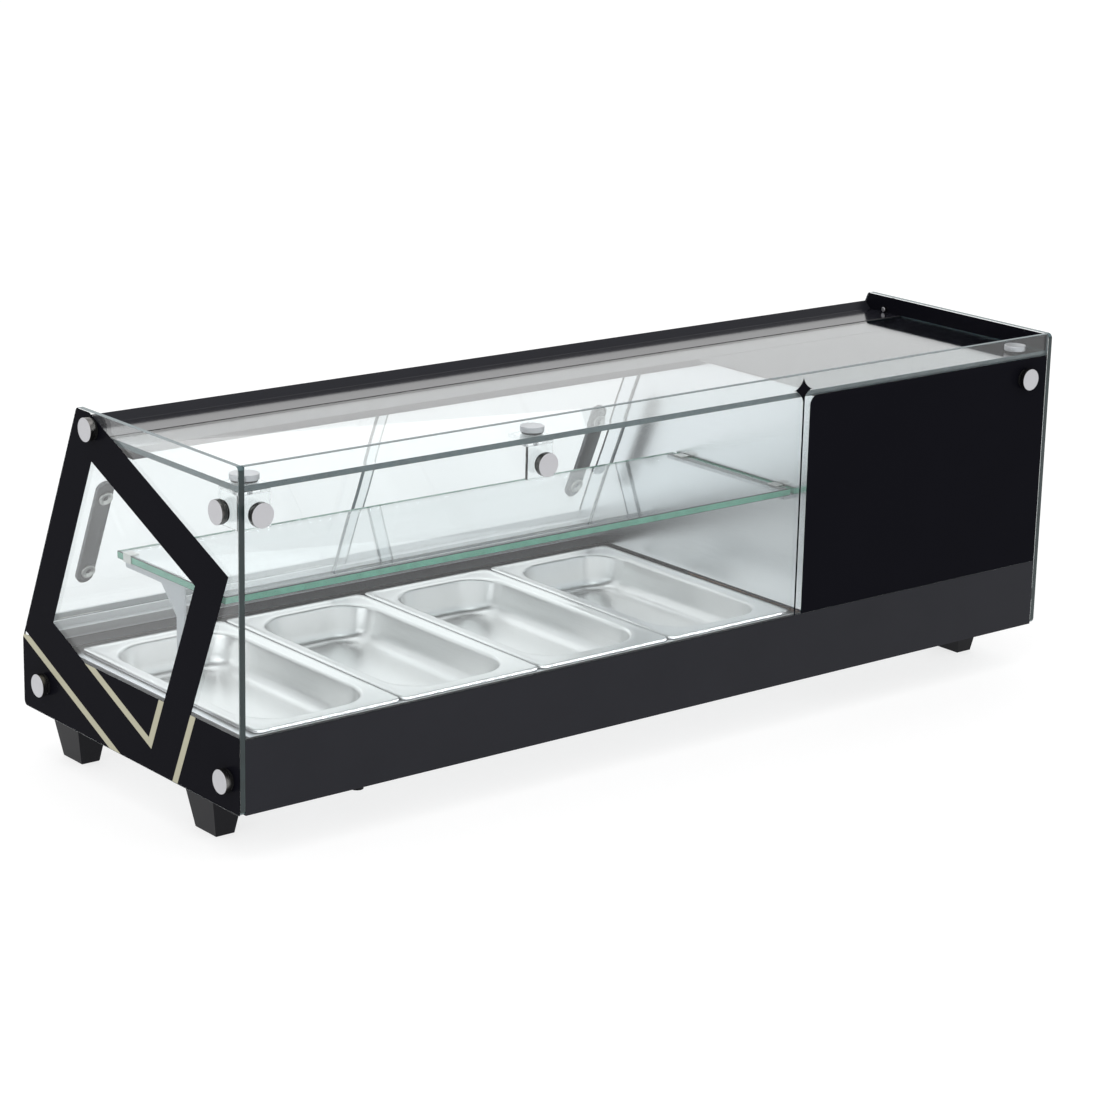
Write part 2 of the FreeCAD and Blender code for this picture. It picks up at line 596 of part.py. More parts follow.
def track(name, floor_low, ribs_low, ribs_high):
    """Two-groove door rail, drawn upright and laid into the leaning plane."""
    across = (f"-{SIDE}", "track_end")
    pieces = [block(f"{name}_floor", across, ("-track_wide-hatch_gauge", "-hatch_gauge"),
                    (floor_low, f"{floor_low}+track_floor"))]
    for count in range(3):
        start = f"-hatch_gauge-track_rib-{count}*(track_wide-track_rib)/2"
        pieces.append(block(f"{name}_rib_{count}", across, (start, f"{start}+track_rib"),
                            (ribs_low, ribs_high)))
    return lean(join(name, pieces))


def tracks():
    """Door rails at the foot and the head of the back. The lower one stands on a wedge-shaped sill."""
    node("upper_track", track("upper_track", "track_high_end-track_floor", "track_high_low",
                              "track_high_end"))
    rail = track("lower_rail", "track_start", "track_start", "track_start+track_tall")
    run = "(track_wide+hatch_gauge+gap)"
    toe = f"({REAR}-track_start*sin(tilt)-{run}*cos(tilt))"
    toe_up = f"(knee+track_start*cos(tilt)-{run}*sin(tilt)-gap)"
    heel = f"({REAR}-track_start*sin(tilt)-hatch_gauge*cos(tilt))"
    heel_up = f"(knee+track_start*cos(tilt)-hatch_gauge*sin(tilt)-gap)"
    foot = "base_top"
    sill = profile("rear_sill", [[(toe, foot), (heel, foot), (heel, heel_up), (toe, toe_up)]],
                   (f"-{SIDE}", "track_end"))
    node("lower_track", join("lower_track", [rail, sill]))


def door(side, start, end, depth, handle):
    """Sliding pane with its handle plate, through bolts and bottom glides."""
    outer = f"({depth}+door_glass)"
    pane = block(f"{side}_pane", (start, end), (depth, outer), ("door_low", "door_high"))
    spots = [f"handle_middle{sign}handle_bolt" for sign in "-+"]
    holes = [rod(f"{side}_pane_hole_{count}", "bolt_radius+gap", (handle, depth, up), "y", "door_glass")
             for count, up in enumerate(spots)]
    lean(node(f"door_{side}_glass", cut(f"door_{side}_glass", pane, holes)))
    half = "(handle_wide/2)"
    straight = "(handle_long/2-handle_wide/2)"
    slab = [block(f"{side}_grip", (f"{handle}-{half}", f"{handle}+{half}"), (outer, f"{outer}+handle_thick"),
                  (f"handle_middle-{straight}", f"handle_middle+{straight}"))]
    for count, sign in enumerate("-+"):
        slab.append(rod(f"{side}_grip_end_{count}", half, (handle, outer, f"handle_middle{sign}{straight}"),
                        "y", "handle_thick"))
    sockets = [rod(f"{side}_grip_hole_{count}", "bolt_radius+gap", (handle, outer, up), "y", "handle_thick")
               for count, up in enumerate(spots)]
    lean(node(f"handle_{side}", cut(f"handle_{side}", join(f"{side}_grip_set", slab), sockets)))
    bolts = []
    for count, up in enumerate(spots):
        bolts.append(rod(f"{side}_bolt_{count}", "bolt_radius", (handle, f"{depth}-bolt_head", up), "y",
                         "bolt_head+door_glass+handle_thick-gap"))
        bolts.append(rod(f"{side}_bolt_washer_{count}", "bolt_washer", (handle, f"{depth}-bolt_head", up),
                         "y", "bolt_head"))
    lean(node(f"handle_{side}_bolts", join(f"handle_{side}_bolts", bolts)))
    middle = f"({depth}+door_glass/2)"
    glides = []
    for count, low in enumerate((f"{start}+glide_in", f"{end}-glide_in-glide_long")):
        glides.append(block(f"{side}_glide_{count}", (low, f"{low}+glide_long"),
                            (f"{middle}-glide_wide/2", f"{middle}+glide_wide/2"),
                            ("door_low-glide_thick", "door_low")))
    lean(node(f"door_{side}_glides", join(f"door_{side}_glides", glides)))


def shelf():
    """Glass shelf on a bent post at the left and an arm on the partition at the right."""
    under = "(shelf_top-shelf_glass)"
    node("shelf_glass", block("shelf_glass", ("shelf_left", "shelf_right"), ("shelf_front", "shelf_rear"),
                              (under, "shelf_top")))
    post = [("post_front", "liner_top"), ("post_front+post_wide", "liner_top"),
            ("post_front+post_wide", f"{under}-arm_drop-post_wide*2"),
            ("post_front+post_wide*3", f"{under}-arm_drop"), ("shelf_rear-clip_reach", f"{under}-arm_drop"),
            ("shelf_rear-clip_reach", under), ("post_front", under)]
    inward = f"(-{SIDE}+lip+gap)"
    arm = profile("shelf_bracket_left", [post], (inward, f"{inward}+post_thick"))
    top = value(f"{under}-arm_drop-1")
    soften(arm, "post_thick", lambda edge: runs_along(edge, V(1, 0, 0)) and edge.Vertexes[0].Z > top)
    node("shelf_bracket_left", arm)
    node("shelf_bracket_right", block("shelf_bracket_right", ("shelf_right-clip_reach", "partition-gap/3"),
                                      ("shelf_front", "shelf_rear"), (f"{under}-arm_drop/2", under)))
    clips = []
    for side, (low, high) in enumerate((("shelf_left-clip_wall", "shelf_left+clip_reach"),
                                        ("shelf_right-clip_reach", "shelf_right+clip_wall"))):
        for end, along in enumerate(("shelf_front+clip_long", "shelf_rear-clip_long*2")):
            outer = block(f"clip_{side}_{end}_outer", (low, high), (along, f"{along}+clip_long"),
                          (under, "shelf_top+clip_wall"))
            slot = block(f"clip_{side}_{end}_slot", ("shelf_left", "shelf_right"),
                         (along, f"{along}+clip_long"), (under, "shelf_top"))
            clips.append(cut(f"clip_{side}_{end}", outer, [slot]))
    node("shelf_clips", join("shelf_clips", clips))


def light_strip():
    """Row of light modules on a strip behind the front pane's foot."""
    rear = "led_front+led_deep"
    strip = block("led_channel", (f"-{SIDE}+lip*2", "display_end-lip"), ("led_front", rear),
                  ("led_low", "led_high"))
    first = f"(-{SIDE}+lip*3)"
    middle = "(led_low+led_high)/2"
    modules = [block(f"led_{count}", (f"{first}+{count}*led_step", f"{first}+{count}*led_step+led_wide"),
                     (rear, f"{rear}+led_proud"), (f"{middle}-led_tall/2", f"{middle}+led_tall/2"))
               for count in range(int(value("led_count")))]
    node("led_strip", join("led_strip", [strip] + modules))


def compartment():
    """Black roof and louvred rear hatch of the machine compartment."""
    lid = block("lid_sheet", ("partition", SIDE), (f"{BACK_OF_GLASS}+gap", "beam_nose-gap"),
                ("cover_low", "cover_high"))
    notch = block("lid_notch", (f"{SIDE}-bracket_leg-cap_in-gap", SIDE),
                  (f"{BACK_OF_GLASS}", f"{BACK_OF_GLASS}+bracket_leg+2*gap"), ("cover_low", "cover_high"))
    node("machine_top_cover", cut("machine_top_cover", lid, [notch]))
    panel = block("hatch_panel", ("track_end+gap", SIDE), ("-hatch_gauge", "0"),
                  ("track_start", "track_high_end"))
    rows = [f"track_start+louvre_pitch*{row + 2}" for row in range(int(value("louvre_count")))]
    louvres = [block(f"louvre_{count}", ("fan_across-shroud_half", "inlet_across+inlet_half"),
                     ("-hatch_gauge", "0"), (low, f"{low}+louvre_wide")) for count, low in enumerate(rows)]
    window = block("hatch_window", ("fascia_across-fascia_half+window_inset",
                                    "fascia_across+fascia_half-window_inset"),
                   ("-hatch_gauge", "0"), ("fascia_low+window_inset", "fascia_high-window_inset"))
    lean(node("machine_rear_cover", cut("machine_rear_cover", panel, louvres + [window])))


def compressor():
    """Hermetic compressor pot on a base plate with four rubber mounts."""
    pot = pad("pot_body", "XY_Plane", [], [("0", "0", "pot_radius")], "pot_high-pot_low-plate_thick")
    soften(pot, "pot_dome", lambda edge: edge.BoundBox.ZLength < 0.01)
    place(pot, "pot_across", "pot_along", "pot_low+plate_thick")
    plate = block("pot_plate", ("pot_across-plate_long", "pot_across+plate_long"),
                  ("pot_along-plate_wide", "pot_along+plate_wide"), ("pot_low", "pot_low+plate_thick"))
    seat = rod("pot_seat", "pot_radius-pot_dome/2", ("pot_across", "pot_along", "pot_low"), "z", "pot_dome")
    terminals = block("pot_terminals", ("pot_across+pot_radius-4", "pot_across+pot_radius+20"),
                      ("pot_along-22", "pot_along+22"), ("pot_low+40", "pot_low+88"))
    node("compressor", join("compressor", [pot, plate, seat, terminals]))
    mounts = [rod(f"mount_{one}{two}", "mount_radius",
                  (f"pot_across{one}mount_across", f"pot_along{two}mount_along", "mount_low"), "z",
                  "pot_low-mount_low") for one in "-+" for two in "-+"]
    node("compressor_mounts", join("compressor_mounts", mounts))


def condenser():
    """Finned condenser: a stack of plates threaded by straight tubes."""
    low = "fan_across-condenser_half"
    count = int(value("2*condenser_half/fin_pitch"))
    fins = [block(f"fin_{step}", (f"{low}+{step}*fin_pitch", f"{low}+{step}*fin_pitch+fin_thick"),
                  ("condenser_front", "condenser_rear"), ("fan_up-condenser_half", "fan_up+condenser_half"))
            for step in range(count + 1)]
    tubes = []
    for row in range(int(value("row_count"))):
        for depth, along in enumerate(("condenser_front+row_radius*2", "condenser_rear-row_radius*2")):
            up = f"fan_up-condenser_half+row_pitch/2+{row}*row_pitch"
            tubes.append(rod(f"row_{row}_{depth}", "row_radius", (f"{low}-row_radius", along, up), "x",
                             "2*condenser_half+row_radius*2+fin_thick"))
    node("condenser", join("condenser", fins + tubes))


def fan():
    """Axial fan: shroud plate with a motor carried on arms, and a five-bladed rotor."""
    middle = ("fan_across", "shroud_start", "fan_up")
    span = ("fan_across-shroud_half", "fan_across+shroud_half")
    plate = block("shroud_plate", span, ("shroud_start", "shroud_start+shroud_thick"),
                  ("fan_up-shroud_half", "fan_up+shroud_half"))
    ring = rod("shroud_ring", "shroud_hole+shroud_thick", middle, "y", "motor_start-shroud_start")
    hole = rod("shroud_space", "shroud_hole", middle, "y", "motor_start-shroud_start")
    node("fan_shroud", cut("fan_shroud", join("shroud_set", [plate, ring]), [hole]))
    arm = ("motor_start", "motor_start+arm_thick")
    can = rod("motor_can", "motor_radius", ("fan_across", arm[1], "fan_up"), "y",
              "motor_end-motor_start-arm_thick")
    shaft = rod("motor_shaft", "shaft_radius", ("fan_across", "fan_start", "fan_up"), "y",
                "motor_start+2*arm_thick-fan_start")
    arms = [block("motor_arm_level", span, arm, ("fan_up-arm_half", "fan_up+arm_half")),
            block("motor_arm_upright", ("fan_across-arm_half", "fan_across+arm_half"), arm,
                  ("fan_up-shroud_half", "fan_up+shroud_half"))]
    node("fan_motor", join("fan_motor", [can, shaft] + arms))
    hub = Part.makeCylinder(value("fan_hub"), value("fan_deep"), V(), V(0, 1, 0))
    blades = []
    for step in range(int(value("blade_count"))):
        blade = Part.makeBox(value("fan_radius-fan_hub/2"), value("fan_deep*1.7"), value("blade_thick"))
        blade.translate(V(value("fan_hub/2"), -value("fan_deep*0.85"), -value("blade_thick/2")))
        blade.rotate(V(), V(1, 0, 0), value("blade_twist") + 90)
        blade.translate(V(0, value("fan_deep/2"), 0))
        blade.rotate(V(), V(0, 1, 0), step * 360 / value("blade_count"))
        blades.append(blade)
    envelope = Part.makeCylinder(value("fan_radius"), value("fan_deep"), V(), V(0, 1, 0))
    solid = hub.multiFuse(blades).common(envelope)
    bore = Part.makeCylinder(value("shaft_radius+shaft_play"), value("fan_deep"), V(), V(0, 1, 0))
    rotor = doc.addObject("Part::Feature", "fan_rotor")
    rotor.Shape = solid.cut(bore)
    place(node("fan_rotor", rotor), "fan_across", "fan_start", "fan_up")


def refrigerant_pipes():
    """Hot-gas pipe from the pot to the condenser, and liquid line with its drier."""
    pot = (value("pot_across"), value("pot_along"))
    top = value("pot_high+pipe_rise")
    right = value("fan_across+condenser_half+row_radius*4")
    front = value("condenser_rear-row_radius*2")
    left = value("fan_across-condenser_half-row_radius*3")
    gas = pipe("gas_pipe", [(pot[0], pot[1], value("pot_high")), (pot[0], pot[1], top),
                            (right, value("pot_along-pipe_turn"), top), (right, front, top),
                            (right, front, value("fan_up+gas_end"))], value("pipe_bend"),
               value("pipe_radius"))
    liquid = pipe("liquid_pipe", [(left, front, value("fan_up")), (left, front, value("fan_up-liquid_drop")),
                                  (left, pot[1], value("fan_up-liquid_drop")),
                                  (left, pot[1], value("partition_low+liquid_end"))],
                  value("pipe_bend"), value("pipe_radius"))
    drier = rod("drier", "drier_radius", (f"{left}", "pot_along-drier_long-drier_back",
                                          "fan_up-liquid_drop"), "y", "drier_long")
    node("refrigerant_pipes", join("refrigerant_pipes", [gas, liquid, drier]))


FASCIA_MIDDLE = "((fascia_low+fascia_high)/2)"
BUTTONS = ("set", "up", "down")
ROCKERS = {"power": "-", "light": "+"}


def button_start(count, along):
    """Where a key's cylinder starts, drawn upright about the fascia's middle."""
    return f"button_first+button_pitch*{count}", along, FASCIA_MIDDLE


def controls():
    """Moulded fascia with a display window, three keys and two rocker switches."""
    low = FASCIA_MIDDLE
    face = block("fascia_face", ("-fascia_half", "fascia_half"), ("fascia_seat", "fascia_proud"),
                 ("fascia_low", "fascia_high"))
    box = block("fascia_box", ("-fascia_half+box_inset", "fascia_half-box_inset"),
                ("-fascia_deep", "fascia_seat"), ("fascia_low+box_inset", "fascia_high-box_inset"))
    spaces = [block("fascia_screen", ("screen_middle-screen_half", "screen_middle+screen_half"),
                    ("fascia_proud-screen_deep", "fascia_proud"),
                    (f"{low}-screen_tall", f"{low}+screen_tall"))]
    for count, name in enumerate(BUTTONS):
        spaces.append(rod(f"{name}_space", "button_radius+button_play", button_start(count, "-button_deep"),
                          "y", "button_deep+fascia_proud"))
    for name, sign in ROCKERS.items():
        middle = f"({sign}rocker_across)"
        wide = "(rocker_half+rocker_play)"
        spaces.append(block(f"{name}_well", (f"{middle}-{wide}", f"{middle}+{wide}"),
                            ("-fascia_deep/2", "fascia_proud"),
                            (f"{low}-rocker_tall-rocker_play", f"{low}+rocker_tall+rocker_play")))
    lean(node("control_fascia", cut("control_fascia", join("fascia_set", [face, box]), spaces)),
         "fascia_across")
    for count, name in enumerate(BUTTONS):
        start = button_start(count, "-button_deep+button_travel")
        top = rod(f"button_{name}_top", "button_radius", start, "y",
                  "button_deep-button_travel+fascia_proud+button_proud")
        stem = rod(f"button_{name}_stem", "button_radius-button_play*3", start, "y", "button_deep")
        lean(node(f"button_{name}", join(f"button_{name}", [top, stem])), "fascia_across")
    for name, sign in ROCKERS.items():
        middle = f"({sign}rocker_across)"
        outline = [("-rocker_back", f"{low}-rocker_tall"),
                   ("fascia_proud+rocker_high", f"{low}-rocker_tall"),
                   ("fascia_proud+rocker_waist", low), ("fascia_proud+rocker_flush", f"{low}+rocker_tall"),
                   ("-rocker_back", f"{low}+rocker_tall")]
        key = profile(f"{name}_rocker_key", [outline], (f"{middle}-rocker_half", f"{middle}+rocker_half"))
        axle = rod(f"{name}_rocker_axle", "rocker_play*2", (f"{middle}-rocker_half-gap", "-1", low), "x",
                   "2*rocker_half+2*gap")
        lean(node(f"{name}_rocker", join(f"{name}_rocker", [key, axle])), "fascia_across")


def inlet():
    """Mains inlet in the base's rear wall."""
    body = block("inlet_body", ("inlet_across-inlet_half", "inlet_across+inlet_half"),
                 (f"{BASE_REAR}-inlet_deep", f"{BASE_REAR}+inlet_proud"),
                 ("inlet_height-inlet_tall", "inlet_height+inlet_tall"))
    room = f"{BASE_REAR}-inlet_deep+inlet_floor"
    mouth = block("inlet_mouth",
                  ("inlet_across-inlet_half+inlet_wall", "inlet_across+inlet_half-inlet_wall"),
                  (room, f"{BASE_REAR}+inlet_proud"),
                  ("inlet_height-inlet_tall+inlet_wall", "inlet_height+inlet_tall-inlet_wall"))
    pins = []
    for step in (-1, 0, 1):
        low = f"inlet_across+{step}*inlet_pitch-inlet_pin/2"
        pins.append(block(f"inlet_pin_{step}", (low, f"{low}+inlet_pin"),
                          (room, f"{BASE_REAR}-inlet_pin_deep"),
                          ("inlet_height-inlet_pin", "inlet_height+inlet_pin")))
    node("power_inlet", join("power_inlet", [cut("inlet_shell", body, [mouth])] + pins))


def build():
    base()
    bottom_cover()
    foam()
    well()
    crossbars()
    pans()
    cold_coil()
    drain()
    feet()
    screws()
    glazing()
    caps()
    glass_brackets()
    rear_beam()
    tracks()
    door("left", "left_door_start", "left_door_end", "outer_door", "left_handle")
    door("right", "right_door_start", "right_door_end", "inner_door", "right_handle")
    shelf()
    light_strip()
    compartment()
    compressor()
    condenser()
    fan()
    refrigerant_pipes()
    controls()
    inlet()


build()
doc.recompute()
failed = [item.Name for item in doc.Objects if {"Invalid", "Error"} & set(item.State)]
failed += [name for name, piece in parts.items() if piece.Shape.isNull() or not piece.Shape.isValid()]
if failed:
    raise RuntimeError(f"these objects failed: {failed}")
os.makedirs("parts", exist_ok=True)
for name, piece in parts.items():
    piece.Shape.exportStep(f"parts/{name}.step")
    print(name, len(piece.Shape.Solids), round(piece.Shape.Volume))
print(len(parts), "parts")
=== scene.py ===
import json
import math

import bmesh
import bpy
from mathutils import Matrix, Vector

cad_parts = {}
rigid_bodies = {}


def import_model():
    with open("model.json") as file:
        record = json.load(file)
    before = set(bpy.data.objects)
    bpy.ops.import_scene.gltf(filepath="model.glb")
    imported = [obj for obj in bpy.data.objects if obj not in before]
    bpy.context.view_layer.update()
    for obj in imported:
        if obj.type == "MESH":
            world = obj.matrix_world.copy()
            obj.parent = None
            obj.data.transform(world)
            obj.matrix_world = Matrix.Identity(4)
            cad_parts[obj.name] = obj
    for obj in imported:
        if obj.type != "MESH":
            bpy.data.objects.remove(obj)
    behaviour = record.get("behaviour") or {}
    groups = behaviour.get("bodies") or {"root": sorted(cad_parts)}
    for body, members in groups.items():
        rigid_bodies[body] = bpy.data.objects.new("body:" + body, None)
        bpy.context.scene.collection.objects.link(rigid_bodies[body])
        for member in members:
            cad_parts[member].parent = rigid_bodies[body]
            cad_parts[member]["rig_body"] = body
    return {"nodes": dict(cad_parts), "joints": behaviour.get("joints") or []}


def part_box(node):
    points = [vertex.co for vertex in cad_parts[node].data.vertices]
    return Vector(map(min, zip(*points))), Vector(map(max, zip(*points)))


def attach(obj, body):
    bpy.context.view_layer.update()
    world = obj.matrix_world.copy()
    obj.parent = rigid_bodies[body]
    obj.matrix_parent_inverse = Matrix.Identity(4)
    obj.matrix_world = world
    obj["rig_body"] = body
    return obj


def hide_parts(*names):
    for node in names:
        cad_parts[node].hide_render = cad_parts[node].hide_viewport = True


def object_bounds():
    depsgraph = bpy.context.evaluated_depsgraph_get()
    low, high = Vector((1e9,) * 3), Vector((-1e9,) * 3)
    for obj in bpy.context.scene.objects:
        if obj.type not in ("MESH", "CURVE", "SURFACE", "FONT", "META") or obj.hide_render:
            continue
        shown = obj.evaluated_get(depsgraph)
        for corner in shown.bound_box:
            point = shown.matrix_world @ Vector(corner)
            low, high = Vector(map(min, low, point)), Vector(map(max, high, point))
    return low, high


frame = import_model()
cad_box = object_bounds()
low_corner, high_corner = cad_box


# The counter and the studio.
# A plain pale counter under a white dome, with a large soft lamp overhead and weaker ones at
# the left and behind. The camera stands at the front left corner, a little above the case.
scene = bpy.context.scene
scene.view_settings.view_transform = "Standard"
scene.cycles.max_bounces = 24
scene.cycles.transmission_bounces = 20
scene.cycles.transparent_max_bounces = 24


def plain_material(name, colour, roughness, metallic=0.0):
    """A new material, its node tree and its Principled shader."""
    made = bpy.data.materials.new(name)
    made.use_nodes = True
    shader = made.node_tree.nodes["Principled BSDF"]
    shader.inputs["Base Color"].default_value = (*colour, 1)
    shader.inputs["Roughness"].default_value = roughness
    shader.inputs["Metallic"].default_value = metallic
    return made, made.node_tree, shader


bpy.ops.object.select_all(action="DESELECT")
bpy.ops.mesh.primitive_plane_add(size=16, location=(0, 0, 0))
counter = bpy.context.active_object
counter.name = "counter"
pale_counter, _, pale_shader = plain_material("pale_counter", (0.3, 0.3, 0.3), 0.75)
pale_shader.inputs["Emission Color"].default_value = (1, 1, 1, 1)
pale_shader.inputs["Emission Strength"].default_value = 0.73
pale_shader.inputs["Specular IOR Level"].default_value = 0.2
counter.data.materials.append(pale_counter)

dome = bpy.data.worlds.new("dome")
dome.use_nodes = True
dome.node_tree.nodes["Background"].inputs["Color"].default_value = (1, 1, 1, 1)
dome.node_tree.nodes["Background"].inputs["Strength"].default_value = 1.0
scene.world = dome


def soft_lamp(name, place, aim, width, height, power):
    """A rectangular lamp turned towards a point."""
    light = bpy.data.lights.new(name, "AREA")
    light.shape = "RECTANGLE"
    light.size = width
    light.size_y = height
    light.energy = power
    lamp = bpy.data.objects.new(name, light)
    lamp.location = place
    lamp.rotation_euler = (Vector(aim) - Vector(place)).to_track_quat("-Z", "Y").to_euler()
    scene.collection.objects.link(lamp)


case_middle = (low_corner + high_corner) / 2
soft_lamp("overhead_lamp", (-0.3, -0.4, 2.4), case_middle, 2.6, 1.8, 12)
soft_lamp("left_lamp", (-2.6, -0.6, 1.2), case_middle, 1.2, 1.6, 6)
soft_lamp("back_lamp", (0.6, 2.2, 1.6), case_middle, 2.4, 1.2, 4)

lens = bpy.data.cameras.new("camera")
lens.lens = 102.35
lens.sensor_width = 36
camera = bpy.data.objects.new("camera", lens)
camera.location = (-2.1254, -2.5963, 1.1335)
camera.rotation_euler = [math.radians(turn) for turn in (74.153, -1.2545, -38.747)]
scene.collection.objects.link(camera)
scene.camera = camera


# The base.
# A tray of black powder-coated sheet steel, its edges folded over a small radius, standing on
# four moulded feet screwed up through a galvanised floor plate. A drain spout hangs below.
def new_group(name, inputs, outputs):
    """A shader node group with float inputs and the outputs given, and its two end nodes."""
    group = bpy.data.node_groups.new(name, "ShaderNodeTree")
    for label, default in inputs.items():
        socket = group.interface.new_socket(label, in_out="INPUT", socket_type="NodeSocketFloat")
        socket.default_value = default
    for label, kind in outputs.items():
        group.interface.new_socket(label, in_out="OUTPUT", socket_type=kind)
    return group, group.nodes.new("NodeGroupInput"), group.nodes.new("NodeGroupOutput")


def add_noise(tree, coordinates, scale, detail):
    """A noise pattern, its scale a number or a socket."""
    noise = tree.nodes.new("ShaderNodeTexNoise")
    noise.inputs["Detail"].default_value = detail
    if isinstance(scale, (int, float)):
        noise.inputs["Scale"].default_value = scale
    else:
        tree.links.new(scale, noise.inputs["Scale"])
    tree.links.new(coordinates, noise.inputs["Vector"])
    return noise.outputs["Fac"]


def math_node(tree, operation, one, two):
    """One sum or product of two numbers or sockets."""
    node = tree.nodes.new("ShaderNodeMath")
    node.operation = operation
    for socket, given in zip(node.inputs, (one, two)):
        if isinstance(given, (int, float)):
            socket.default_value = given
        else:
            tree.links.new(given, socket)
    return node.outputs[0]


def build_coat_group():
    """Powder coat or moulded skin: fine orange peel, with faint wiped and dusty patches."""
    group, start, end = new_group("coated_skin",
                                  {"Grain": 900.0, "Relief": 0.1, "Roughness": 0.3, "Spread": 0.1},
                                  {"Roughness": "NodeSocketFloat", "Normal": "NodeSocketVector"})
    place = group.nodes.new("ShaderNodeTexCoord").outputs["Object"]
    grain = add_noise(group, place, start.outputs["Grain"], 2)
    patches = add_noise(group, place, 9, 4)
    centred = math_node(group, "SUBTRACT", patches, 0.5)
    spread = math_node(group, "MULTIPLY", centred, start.outputs["Spread"])
    group.links.new(math_node(group, "ADD", start.outputs["Roughness"], spread), end.inputs["Roughness"])
    bump = group.nodes.new("ShaderNodeBump")
    bump.inputs["Distance"].default_value = 0.0003
    group.links.new(start.outputs["Relief"], bump.inputs["Strength"])
    group.links.new(grain, bump.inputs["Height"])
    group.links.new(bump.outputs["Normal"], end.inputs["Normal"])
    return group


coated_skin = build_coat_group()


def tint(tree, shader, colour, amount, scale):
    """Lets the base colour drift a little lighter and darker over the surface."""
    place = tree.nodes.new("ShaderNodeTexCoord").outputs["Object"]
    ramp = tree.nodes.new("ShaderNodeMapRange")
    ramp.inputs["To Min"].default_value = 1 - amount
    ramp.inputs["To Max"].default_value = 1 + amount
    tree.links.new(add_noise(tree, place, scale, 3), ramp.inputs["Value"])
    mix = tree.nodes.new("ShaderNodeVectorMath")
    mix.operation = "SCALE"
    mix.inputs[0].default_value = colour
    tree.links.new(ramp.outputs["Result"], mix.inputs["Scale"])
    tree.links.new(mix.outputs["Vector"], shader.inputs["Base Color"])


def coated_material(name, colour, roughness, grain=900, relief=0.1, spread=0.1, shine=0.5, drift=0.12):
    """Opaque coated, moulded or painted finish."""
    made, tree, shader = plain_material(name, colour, roughness)
    skin = tree.nodes.new("ShaderNodeGroup")
    skin.node_tree = coated_skin
    for label, number in (("Grain", grain), ("Relief", relief),
                          ("Roughness", roughness), ("Spread", spread)):
        skin.inputs[label].default_value = number
    tree.links.new(skin.outputs["Roughness"], shader.inputs["Roughness"])
    tree.links.new(skin.outputs["Normal"], shader.inputs["Normal"])
    shader.inputs["Specular IOR Level"].default_value = shine
    tint(tree, shader, colour, drift, 14)
    return made


def only(piece):
    """Makes one object the selected and active one."""
    bpy.ops.object.select_all(action="DESELECT")
    piece.select_set(True)
    bpy.context.view_layer.objects.active = piece


def dress(piece, *materials):
    """Replaces a piece's materials."""
    if piece.name in frame["nodes"]:
        for slot in piece.material_slots:
            slot.material = materials[0]
        return piece
    piece.data.materials.clear()
    for each in materials:
        piece.data.materials.append(each)
    return piece


def bevelled(piece, width, segments=2, angle=35):
    """Rounds the sharp edges over and shades the result."""
    only(piece)
    rounding = piece.modifiers.new("edges", "BEVEL")
    rounding.width = width
    rounding.segments = segments
    rounding.limit_method = "ANGLE"
    rounding.angle_limit = math.radians(angle)
    bpy.ops.object.modifier_apply(modifier=rounding.name)
    bpy.ops.object.shade_smooth_by_angle(angle=math.radians(35))
    evening = piece.modifiers.new("even_light", "WEIGHTED_NORMAL")
    evening.keep_sharp = True
    bpy.ops.object.modifier_apply(modifier=evening.name)
    return piece


def eased(node, name, width, segments=2, body=None):
    """A copy of a CAD solid with its facets merged and its sharp edges rounded over."""
    source = frame["nodes"][node]
    piece = bpy.data.objects.new(name, source.data.copy())
    scene.collection.objects.link(piece)
    only(piece)
    piece.data.materials.clear()
    bpy.ops.mesh.customdata_custom_splitnormals_clear()
    bpy.ops.object.mode_set(mode="EDIT")
    bpy.ops.mesh.select_all(action="SELECT")
    bpy.ops.mesh.remove_doubles(threshold=0.000002)
    bpy.ops.mesh.dissolve_limited(angle_limit=math.radians(1))
    bpy.ops.object.mode_set(mode="OBJECT")
    for face in piece.data.polygons:
        face.material_index = 0
    bevelled(piece, width, segments)
    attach(piece, body or source["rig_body"])
    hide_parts(node)
    return piece


black_coat = coated_material("black_powder_coat", (0.016, 0.0165, 0.021), 0.34, grain=1100, relief=0.12,
                             shine=0.1)
shell = dress(eased("base_shell", "base_shell_skin", 0.0006), black_coat)
foot_plastic = coated_material("foot_plastic", (0.006, 0.006, 0.008), 0.35, grain=1600, relief=0.12,
                               shine=0.12)
for end in ("front", "rear"):
    for side in ("left", "right"):
        foot = dress(eased(f"foot_{end}_{side}", f"moulded_foot_{end}_{side}", 0.0018, 3), foot_plastic)
spout = dress(eased("drain_spout", "spout", 0.0006), foot_plastic)


